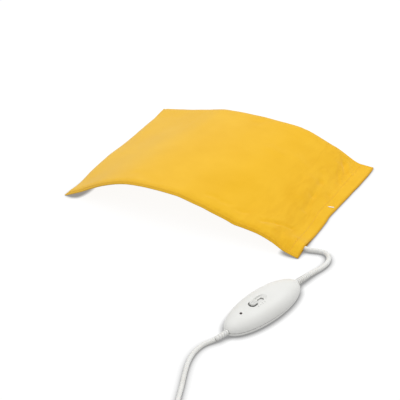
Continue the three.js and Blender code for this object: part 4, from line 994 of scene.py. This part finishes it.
def pad_point(u, v, offset):
    """The middle surface moved along its normal (-dz/du, 0, dx/du), in the frame's axes."""
    u, v, offset = np.broadcast_arrays(u, v, offset)
    held = np.clip(u, 0, PAD_LENGTH)
    x, z = middle(held, v)
    x0, z0 = middle(np.clip(u - 2, 0, PAD_LENGTH), v)
    x1, z1 = middle(np.clip(u + 2, 0, PAD_LENGTH), v)
    length = np.hypot(x1 - x0, z1 - z0)
    tx, tz = (x1 - x0) / length, (z1 - z0) / length
    beyond = u - held
    drawn = (FRONT_LEFT[0] * ease(1 - u / FRONT_LEFT[1]) * ease(-v / HALF_WIDTH)
             + BACK_RIGHT[0] * ease(1 - (PAD_LENGTH - u) / BACK_RIGHT[1]) * ease(v / HALF_WIDTH))
    return stack(x - tz * offset + tx * beyond + PAD_PLACE[0], v + drawn + PAD_PLACE[1],
                 z + tx * offset + tz * beyond)


def fullness(u, v, width):
    """0 at a seam to 1 inside: rolls across and at the sewn end, and a slower fall towards the hem.

    The fall starts and ends along wandering lines, as the fleece's end lies a little askew in its sleeve.
    """
    askew = 2.2 * np.sin(v / 31.0 + 0.8) + 1.2 * np.sin(v / 13.0)
    towards_hem = ease((SLEEVE_END + 6.0 - u + askew) / 34.0)
    return roll(u, width) * towards_hem * roll(HALF_WIDTH - np.abs(v), width)


def hem_lift(u, v):
    """How far the hem rises over the cord's moulding: 1 above it, a bell beside it, eased to 0 behind it."""
    beside = bell(v - ENTRY_CENTRE, np.where(v < ENTRY_CENTRE, 14.0, 19.0)) * roll(v + HALF_WIDTH, 9.0)
    return beside * ease((u - LAYER_END + 16.0) / 42.0)


def folds(u, v):
    """Each fold is its scaled height times a bell of the distance to its straight line."""
    total = np.zeros(np.broadcast(u, v).shape)
    for u0, v0, u1, v1, width, height in FOLDS:
        du, dv = u1 - u0, v1 - v0
        t = np.clip(((u - u0) * du + (v - v0) * dv) / (du * du + dv * dv), 0, 1)
        total = total + height * bell(np.hypot(u - u0 - t * du, v - v0 - t * dv), width)
    return FOLD_HEIGHT_SCALE * total


def undulation(u, v):
    """Slow unevenness of the cloth: the mean of ten plane sine waves of 35 to 95 mm."""
    total = sum(a * np.sin(2 * math.pi * (u * math.cos(t) + v * math.sin(t)) / length + phase)
                for a, t, length, phase in WAVES)
    return total / len(WAVES)


def puckers(run):
    """Gathers along a seam: sines of 7 to 23 mm, summed and kept between 0 and 1."""
    total = sum(a * np.sin(2 * math.pi * run / length + phase) for a, length, phase in PUCKERS)
    return np.clip(0.5 + 0.3 * total, 0, 1)


def hem_line(v):
    """Where the hem's stitching runs: nearer the edge at the front than at the back, with a slight wander."""
    return HEM_STITCHES - HEM_SLANT * (v / PAD_WIDTH + 0.5) + HEM_WANDER * np.sin(v / 17.0)


def inside_seams(u, v):
    """0 up to 2 mm from the nearest sewn edge, eased to 1 at 12 mm."""
    return ease((np.minimum(HALF_WIDTH - np.abs(v), u) - 2.0) / 10.0)


def cover_relief(u, v):
    """What the sewn cloth adds to the plain form, as bells about each seam and about the hem's stitching.

    Each seam is a groove, deeper where it puckers, with gathers beside it. The hem's band is a step up.
    """
    from_side = HALF_WIDTH - np.abs(v)
    from_hem = u - hem_line(v)
    strong = 0.35 + 0.65 * ease((u - 225) / 30) * ease((LAYER_END - u) / 20)
    side_seam = -bell(from_side - SEAM_LINE, SEAM_WIDTH) * (0.45 + 0.9 * strong * puckers(u))
    gathers = 0.55 * strong * (puckers(u + 3.0) - 0.5) * bell(from_side - 9.0, 7.0)
    end_seam = -bell(u - SEAM_LINE, SEAM_WIDTH) * (0.4 + 0.4 * puckers(v))
    groove = -bell(from_hem, 1.2) * (0.12 + 0.16 * puckers(v * 1.3))
    band = 0.15 * ease(from_hem / 4.0)
    before = 0.35 * bell(from_hem + 5.0, 4.0) * (puckers(v * 0.8 + 40) - 0.35)
    cloth = (folds(u, v) + 0.25 * undulation(u, v)) * inside_seams(u, v)
    return cloth + side_seam + gathers + end_seam + groove + band + before


def cover_top(u, v):
    """Distance of the outer face from the middle surface: seam, fullness or the hem's lift, and the relief.

    Where the cover is thin, a fold can't go deeper than two cloths above the lower face.
    """
    lifted = 2 * BULGE * hem_lift(u, v)
    outer = SEAM_HALF + np.maximum(BULGE * fullness(u, v, TOP_ROLL), lifted) + cover_relief(u, v)
    return np.maximum(outer, cover_underside(u, v) + 2 * FABRIC)


def plain_underside(u, v):
    """The lower face without its unevenness, fuller towards the middle."""
    return -SEAM_HALF - BULGE * fullness(u, v, UNDERSIDE_ROLL)


def cover_underside(u, v):
    """The same distance for the lower face, with a gentle unevenness."""
    return plain_underside(u, v) - 0.3 * undulation(u + 60, v) * inside_seams(u, v)


def sleeve_grid(u, v, thick):
    """A closed loop of columns at each length: over the top, round the back, back under, round the front.

    The edges are half circles of the seam's half thickness. The last row's loop is the open mouth.
    """
    bend = np.linspace(math.pi / 2, -math.pi / 2, EDGE_POINTS + 2)[1:-1]
    u = u[:, None]
    top = pad_point(u, v[None, :], cover_top(u, v[None, :]) - thick)
    under = pad_point(u, v[None, ::-1], cover_underside(u, v[None, ::-1]) + thick)

    def edge(sign, angles):
        """Half circles about the middle of the two faces, no wider than 1.4 mm."""
        rim = np.full((1, 1), sign * HALF_WIDTH)
        at_top = cover_top(u, rim) - thick
        at_under = cover_underside(u, rim) + thick
        centre, half = (at_top + at_under) / 2, (at_top - at_under) / 2
        out = np.cos(angles)[None, :] * np.minimum(half, 1.4)
        return pad_point(u, sign * (HALF_WIDTH + out), centre + half * np.sin(angles)[None, :])

    return np.concatenate([top, edge(1, bend), under, edge(-1, bend[::-1])], axis=1)


def cover_piece():
    """The whole cover as one cloth: outer face, folded mouth and inner face of a sleeve sewn on three sides.

    At the sewn end the loop closes by a quarter sine onto the line midway between the two faces. The mouth's
    fold is a half circle from the outer face to the inner one.
    """
    u = spaced((0, 14, 9), (14, 355, 138), (355, PAD_LENGTH, 31))
    v = spaced((-HALF_WIDTH, -136, 10), (-136, 136, 118), (136, HALF_WIDTH, 10))
    back_u = u[u > 1.0][::-2]
    outer = sleeve_grid(u, v, 0.0)
    inner = sleeve_grid(back_u, v, FABRIC)
    side = len(v)
    first, mouth, inside = outer[0], outer[-1], inner[0]
    top, back_edge, under, front_edge = np.split(
        first, (side, side + EDGE_POINTS, 2 * side + EDGE_POINTS))
    line = (top + under[::-1]) / 2
    flat = np.concatenate([line, line[-1] + (back_edge - line[-1]) * [1, 1, 0],
                           line[::-1], line[0] + (front_edge - line[0]) * [1, 1, 0]])
    outward = np.array([-1.0, 0.0, -0.35]) * SEAM_HALF
    closing = [flat + (first - flat) * math.sin(a) + outward * math.cos(a)
               for a in np.linspace(0, math.pi / 2, 6)[:-1]]
    fold = np.array([1.0, 0.0, -0.1]) * FABRIC / 2
    lip = [(mouth + inside) / 2 + (mouth - inside) / 2 * math.sin(a) + fold * math.cos(a)
           for a in np.linspace(math.pi / 2, -math.pi / 2, 6)[1:-1]]
    grid = np.concatenate([closing, outer, lip, inner])
    lengths = np.concatenate([-np.linspace(1.5, 0.3, 5), u, PAD_LENGTH + 0.3 * np.arange(1, 5),
                              2 * PAD_LENGTH - back_u])
    loop = np.concatenate([v, np.full(EDGE_POINTS, HALF_WIDTH), PAD_WIDTH - v[::-1],
                           np.full(EDGE_POINTS, PAD_WIDTH + HALF_WIDTH)])
    rows, columns = grid.shape[:2]
    shut = shutting_faces((rows - 1) * columns, side, 2 * side + EDGE_POINTS - 1)
    faces = np.vstack([grid_faces(rows, columns, wrap_columns=True), shut])
    return make_piece("pad_cover", grid, faces, uv=stack(lengths[:, None], loop[None, :]) * MM, sharp=60)


def inner_pad_piece():
    """The fleece pad: a closed flat cushion with a rolled rim and shallow channels above the heating wire."""
    u = spaced((9.4, 21, 8), (21, 350, 130), (350, 361.7, 8))[:, None]
    v = spaced((-140.6, -128, 8), (-128, 128, 60), (128, 140.6, 8))[None, :]
    rim = roll(np.minimum(np.minimum(u - 9.2, 361.9 - u), 140.8 - np.abs(v)), 6.0)
    pitch = 24.2
    channel = 0.25 * bell(np.mod(u - WIRE_START + pitch / 2, pitch) - pitch / 2, 2.5)
    top = cover_top(u, v) - np.maximum(cover_relief(u, v), 0) - FABRIC - GAP
    under = plain_underside(u, v) + FABRIC + GAP
    centre = (top + under) / 2
    half = np.maximum((top - under) / 2, 0.1)
    upper = pad_point(u, v, centre + (half - channel) * rim)
    lower = pad_point(u, v, centre - half * rim)
    grid = np.concatenate([upper, lower[:, ::-1]], axis=1)
    rows, columns = grid.shape[:2]
    ends = [shutting_faces(row * columns, v.size, columns - 1) for row in (0, rows - 1)]
    faces = np.vstack([grid_faces(rows, columns, wrap_columns=True), *ends])
    return make_piece("inner_pad", grid, faces, sharp=60)


cover = cover_piece()
finished(cover, cover_cotton, replaces=("cover_top_panel", "cover_bottom_panel"))
inner_pad = inner_pad_piece()
finished(inner_pad, pad_fleece, replaces=("pad_top_layer", "pad_bottom_layer"))


def wire_run():
    """The wire's way in the pad: along the front, then up and down in runs, and out again.

    A half circle joins each run to the next: (pitch / 2) (1 - cos a) along and (pitch / 2) sin a outwards.
    """
    pitch = (LAYER_END - WIRE_INSET - WIRE_START) / (WIRE_RUNS - 1)
    front, back = ENTRY_CENTRE + WIRE_INSET, HALF_WIDTH - WIRE_BACK_INSET - pitch / 2
    centre, reach = (front + back) / 2, (back - front) / 2
    run = np.arange(WIRE_RUNS)[:, None]
    way = 1 - 2 * (run % 2)
    straight = np.linspace(-1, 1, 38)
    bend = np.linspace(0, math.pi, 10)[1:-1]
    runs_u = WIRE_START + run * pitch + np.concatenate([0 * straight, pitch / 2 * (1 - np.cos(bend))])
    runs_v = centre + way * np.concatenate([reach * straight, reach + pitch / 2 * np.sin(bend)])
    u = np.concatenate([np.linspace(WIRE_END, WIRE_START + pitch / 2, 60),
                        [WIRE_START + pitch / 7, WIRE_START], runs_u.ravel()[:-len(bend)], [WIRE_END]])
    v = np.concatenate([np.full(60, ENTRY_CENTRE), [ENTRY_CENTRE + pitch / 7, ENTRY_CENTRE + pitch / 2],
                        runs_v.ravel()[:-len(bend)], [ENTRY_CENTRE + ENTRY_HALF_WIDTH]])
    return pad_point(u, v, (cover_top(u, v) + cover_underside(u, v)) / 2 * 0.5)


def cord_grip():
    """The moulding on the cord's end: ovals (w cos t, R sin t), kept between the cover's faces."""
    share = np.linspace(0, 1, 26)[:, None]
    u = LAYER_END + GAP + ENTRY_LENGTH * share
    wide = np.interp(share, np.linspace(0, 1, len(ENTRY_WIDTH_SHARES)), ENTRY_WIDTH_SHARES)
    turn = round_turn(40)[None, :]
    v = ENTRY_CENTRE + ENTRY_HALF_WIDTH * wide * np.cos(turn)
    high = cover_top(u, v) - FABRIC - GAP
    low = cover_underside(u, v) + FABRIC + GAP
    spine = np.full_like(v, ENTRY_CENTRE)
    centre = (cover_top(u, spine) + cover_underside(u, spine)) / 2
    return pad_point(u, v, np.clip(centre + PAD_CORD_RADIUS * np.sin(turn), low, high))


ringed("heating_wire_loop", tube_rings(wire_run(), WIRE_RADIUS, 8), 60, sleeve_silicone, "wire_sleeve",
       "heating_wire")
ringed("cord_grip", cord_grip(), 50, boot_vinyl, "cord_vinyl", "cord_entry")


def stitch_row(name, u, v, length, gap, radius):
    """A row of stitches: each is a thin thread that rises from the cloth, runs a stitch and dips in again.

    u and v are points along the row. Each stitch is five rings of five points about a low hump.
    """
    run = run_along(stack(u, v))
    count = int(run[-1] // (length + gap))
    starts = np.arange(count) * (length + gap) + gap / 2
    at = starts[:, None] + np.array([0.0, 0.12, 0.5, 0.88, 1.0]) * length
    su, sv = np.interp(at, run, u), np.interp(at, run, v)
    lift = np.array([-0.35, 0.15, 0.3, 0.15, -0.35])
    base = pad_point(su, sv, cover_top(su, sv) + lift)
    above = pad_point(su, sv, cover_top(su, sv) + lift + 1.0) - base
    along = unit(np.gradient(base, axis=1))
    across = unit(np.cross(along, above))
    up = np.cross(across, along)
    angle = round_turn(5)[:, None]
    rings = base[:, :, None] + radius * (np.cos(angle) * across[:, :, None] + np.sin(angle) * up[:, :, None])
    first = (np.arange(count) * 25)[:, None, None]
    quads = (grid_faces(5, 5, wrap_columns=True)[None] + first).reshape(-1, 4)
    caps = np.array([(0, k, k + 1) for k in (1, 2, 3)] + [(20, 20 + k, 21 + k) for k in (1, 2, 3)])
    caps = (caps[None] + first).reshape(-1, 3)
    around = round_turn(5) * radius
    return make_piece(name, rings, quads, caps, uv=stack(at[:, :, None], around) * MM, sharp=70)


def bar_rings():
    """A short bar of thread on the hem: round sections that roll off at both ends, pressed flatter."""
    share = np.linspace(0, 1, 13)
    u = TACK_START[0] + TACK_REACH[0] * share
    v = TACK_START[1] + TACK_REACH[1] * share
    line = pad_point(u, v, cover_top(u, v) + TACK_LIFT)
    size = TACK_END_RADIUS + TACK_SWELL * roll(np.minimum(share, 1 - share), 0.2)
    rings = tube_rings(line, size, 12)
    rings[..., 2] = line[:, None, 2] + (rings[..., 2] - line[:, None, 2]) * TACK_FLATNESS
    return rings


hem_v = np.linspace(-147, 147, 400)
stitches = stitch_row("hem_stitching", hem_line(hem_v), hem_v, STITCH_LENGTH, STITCH_GAP, THREAD_RADIUS)
finished(stitches, thread_cotton)
ringed("bar_tack", bar_rings(), 60, tack_cotton, "cover_fabric")


# The controller

def race_ring(length, width, centre, turn):
    """Straight sides and round ends, as a thin stadium: the end's centre, plus a circle of half the width."""
    radius = width / 2
    shift = (length / 2 - radius) * np.tanh(9 * np.cos(turn))
    return centre + shift + radius * np.cos(turn), radius * np.sin(turn)


def oval_ring(turn, inset, z, length_share=1.0, width_share=1.0):
    """A level ellipse (a cos t, b sin t) inside the shell's outline."""
    return stack(np.cos(turn) * (SHELL_HALF - inset) * length_share,
                 np.sin(turn) * (SHELL_SIDE - inset) * width_share, z)


def dome_height(x, y, inset=0.0):
    """Height of a shell face: part line + rise (1 - r^p)^(1/p), r the share of the way to the oval's edge."""
    share = np.hypot(x / (SHELL_HALF - inset), y / (SHELL_SIDE - inset))
    rise = (1 - np.clip(share, 0, 1) ** DOME_EXPONENT) ** (1 / DOME_EXPONENT)
    return PART_LINE + (SHELL_HEIGHT - inset - PART_LINE) * rise


def top_shell():
    """The upper shell as one closed profile carried round: slot, recess, dome, rim, and back inside.

    On the dome the rings go from the recess's outline to the oval: (1-s) recess + s oval, the height from the
    dome. The rim is rounded by a quarter ellipse.
    """
    turn = round_turn(176)
    margin = RECESS_LENGTH - SLOT_LENGTH
    sx, sy = race_ring(SLOT_LENGTH, SLOT_WIDTH, RECESS_CENTRE, turn)
    rings = [stack(sx, sy, RECESS_UNDER), stack(sx, sy, RECESS_FLOOR - 0.15)]
    for share in (0.3 / margin, (margin - RECESS_DRAFT) / margin):
        length = SLOT_LENGTH + (RECESS_LENGTH - RECESS_DRAFT - SLOT_LENGTH) * share
        width = SLOT_WIDTH + (RECESS_WIDTH - RECESS_DRAFT - SLOT_WIDTH) * share
        rings.append(stack(*race_ring(length, width, RECESS_CENTRE, turn), RECESS_FLOOR))
    for step in np.linspace(0, 1, 13):
        grow = DISH * step - RECESS_DRAFT * (1 - step)
        wx, wy = race_ring(RECESS_LENGTH + grow, RECESS_WIDTH + grow, RECESS_CENTRE, turn)
        wx = wx + RUN_OUT * step * np.clip(np.cos(turn), 0, 1)
        rings.append(stack(wx, wy, RECESS_FLOOR + (dome_height(wx, wy) - RECESS_FLOOR) * ease(step)))
    for s in (1 - (1 - np.linspace(0, 1, 46)[1:-1]) ** 1.7) ** 0.9:
        x = wx + (np.cos(turn) * SHELL_HALF - wx) * s
        y = wy + (np.sin(turn) * SHELL_SIDE - wy) * s
        rings.append(stack(x, y, dome_height(x, y)))
    rings.append(oval_ring(turn, 0.0, PART_LINE + RIM_HEIGHT))
    rings += [oval_ring(turn, RIM_INSET * (1 - math.cos(a)), PART_LINE + RIM_HEIGHT * (1 - math.sin(a)))
              for a in quarter_turn(5)]
    lip = WALL / 2 + GAP
    rings += [oval_ring(turn, inset, z) for inset, z in (
        (lip, PART_LINE), (lip, PART_LINE - LIP_HEIGHT), (WALL, PART_LINE - LIP_HEIGHT))]
    px, py = race_ring(RECESS_LENGTH + 1.5, RECESS_WIDTH + 1.5, RECESS_CENTRE, turn)
    for s in np.linspace(0, 1, 14) ** 1.6:
        x = np.cos(turn) * (SHELL_HALF - WALL) * (1 - s) + px * s
        y = np.sin(turn) * (SHELL_SIDE - WALL) * (1 - s) + py * s
        rings.append(stack(x, y, dome_height(x, y, WALL)))
    rings.append(stack(px, py, RECESS_UNDER))
    return in_controller(rings)


def bottom_shell():
    """The lower shell: from its base out to the rim by a quarter sine, over the rim, and back inside."""
    turn = round_turn(144)
    rim = PART_LINE - GAP
    rebate = PART_LINE - LIP_HEIGHT - GAP
    rings = [oval_ring(turn, 0.0, 0.0, BASE_LENGTH_SHARE * s, BASE_WIDTH_SHARE * s)
             for s in (0.2, 0.5, 0.8, 1.0)]
    rings += [oval_ring(turn, 0.0, (rim - BEAD_HEIGHT) * (1 - math.cos(a)),
                        BASE_LENGTH_SHARE + (1 - BASE_LENGTH_SHARE) * math.sin(a),
                        BASE_WIDTH_SHARE + (1 - BASE_WIDTH_SHARE) * math.sin(a)) for a in quarter_turn(11)]
    rings += [oval_ring(turn, 1 - math.cos(a), rim - BEAD_HEIGHT * (1 - math.sin(a)))
              for a in quarter_turn(7)]
    rings += [oval_ring(turn, inset, z, share) for inset, z, share in (
        (WALL / 2, rim, 1.0), (WALL / 2, rebate, 1.0), (WALL, rebate, 1.0), (WALL + 0.6, 3.2, 0.97),
        (WALL + 2.2, BASE_WALL, 0.97))]
    rings += [oval_ring(turn, 0.0, BASE_WALL, s, s) for s in (0.6, 0.2)]
    return in_controller(rings)


def bar(name, start, end, radius, sharp=38):
    """A straight round bar between two points in the controller's axes."""
    return rings_piece(name, in_controller(rod(start, end, radius)), sharp=sharp)


def exit_tools():
    """Bars that cut the holes for both boots, from outside the shell to the flanges' outer faces."""
    ends = SHELL_HALF + 2.0, SHELL_HALF - WALL - FLANGE_INSET
    return [bar("tool", *[(sign * end, 0, EXIT_HEIGHT) for end in ends], radius + 0.6)
            for sign, radius in ((1, PAD_CORD_RADIUS), (-1, MAINS_CORD_RADIUS))]


def roof_boss(x, y):
    """A boss under the upper shell that ends 1 mm inside the dome: z = dome height - 1 at each point."""
    rings = rod((x, y, POST_TOP + GAP), (x, y, SHELL_HEIGHT), BOSS_RADIUS)
    rings[1, :, 2] = dome_height(rings[1, :, 0], rings[1, :, 1]) - 1.0
    return rings_piece("boss", in_controller(rings), sharp=30)


upper = rings_piece("controller_upper_shell", top_shell(), closed=True, sharp=30)
lens_tool = bar("tool", (LENS_PLACE, 0, 12), (LENS_PLACE, 0, 30), LENS_HOLE_RADIUS)
cut(upper, [*exit_tools(), lens_tool], 30)
upper = joined("controller_upper_shell", [upper, *[roof_boss(x, y) for x, y in BOSS_PLACES]])
finished(upper, shell_abs, replaces=("controller_top",))

lower = rings_piece("controller_lower_shell", bottom_shell(), sharp=30)
screw_tools = [bar("tool", (x, y, -2), (x, y, SCREW_FLOOR), SCREW_HOLE_RADIUS) for x, y in BOSS_PLACES]
cut(lower, screw_tools + exit_tools(), 30)
posts = [bar("post", (x, y, POST_BASE), (x, y, POST_TOP), BOSS_RADIUS, 30) for x, y in BOSS_PLACES]
lower = joined("controller_lower_shell", [lower, *posts])
finished(lower, shell_abs, replaces=("controller_bottom",))


def knob_piece():
    """The thumb piece: a rounded cap |x/a|^3 + |y/b|^3 = 1 with cross ridges, stem, shutter and prongs.

    The shutter is long enough to close the slot on both sides of the cap wherever the cap stands.
    """
    x, y = squared_circle(round_turn(96), 2 / 3)
    base, top = RECESS_FLOOR + GAP, SHELL_HEIGHT + KNOB_PROUD
    profile = [(0.985, base), (1.0, base + 0.15), (1.0, base + 0.6 * (top - base))]
    profile += [(1.0 - 0.14 * (1 - math.cos(a)), base + (0.6 + 0.4 * math.sin(a)) * (top - base))
                for a in quarter_turn(8)]
    profile += [(0.86 * k, top) for k in np.linspace(1, 0.08, 14)[1:]]
    rings = [stack(KNOB_PLACE + KNOB_LENGTH / 2 * k * x, KNOB_WIDTH / 2 * k * y, z) for k, z in profile]
    parts = [rings_piece("cap", in_controller(rings), sharp=40)]
    across = np.linspace(-3.1, 3.1, 25)
    size = 0.5 * roll(3.3 - np.abs(across), 1.2) + 0.02
    for place in (-2.6, 0.0, 2.6):
        ridge = tube_rings(stack(KNOB_PLACE + place, across, top), size, 16)
        parts.append(rings_piece("ridge", in_controller(ridge), sharp=60))
    shutter_top = RECESS_UNDER - GAP - 0.2
    shutter_under = shutter_top - 1.1
    shutter_start = RECESS_CENTRE - SLOT_LENGTH / 2 - (SWITCH_PLACES - 1) * SWITCH_STEP - GAP
    shutter_end = RECESS_CENTRE + SLOT_LENGTH / 2 + GAP
    carrier_base = float(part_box("switch_carrier")[0].z) / MM
    prong_end = carrier_base + 0.35 * (shutter_under - carrier_base) + GAP
    root = shutter_under + 0.3
    for start, end, half_width, low, high in (
        (KNOB_PLACE - 4, KNOB_PLACE + 4, 2.8, root, base + 0.3),
        (shutter_start, shutter_end, 3.5, shutter_under, shutter_top),
        (KNOB_PLACE - 3.1, KNOB_PLACE - 1.8, 2.5, prong_end, root),
        (KNOB_PLACE + 1.8, KNOB_PLACE + 3.1, 2.5, prong_end, root),
    ):
        block = box_rings((start, -half_width, low), (end, half_width, high), 0.2)
        parts.append(rings_piece("stem", in_controller(block), sharp=20))
    return joined("slide_knob", parts)


def printed(name, items, size):
    """Figures printed on the shell: flat text laid on the dome, z = dome height + a hair."""
    parts = []
    for text, x, y in items:
        curve = bpy.data.curves.new(name, "FONT")
        curve.body = text
        curve.size = size
        curve.align_x = "CENTER"
        curve.align_y = "CENTER"
        curve.extrude = 0.02
        thing = in_scene(name, curve)
        mesh = worked_out(thing)
        bpy.data.objects.remove(thing)
        flat = np.zeros(len(mesh.vertices) * 3, np.float32)
        mesh.vertices.foreach_get("co", flat)
        px, py, pz = flat.reshape(-1, 3).T.astype(float) + [[x], [y], [0.03]]
        points = in_controller(stack(px, py, dome_height(px, py) + pz)) * MM
        mesh.vertices.foreach_set("co", points.astype(np.float32).ravel())
        mesh.update()
        parts.append(in_scene(name, mesh))
    return joined(name, parts)


finished(knob_piece(), knob_abs, replaces=("switch_knob",), body=SLIDE_BODY)
figures = [(str(k), KNOB_PLACE + k * SWITCH_STEP, -8.2) for k in range(SWITCH_PLACES)]
finished(printed("scale_figures", figures, 2.9), print_ink)
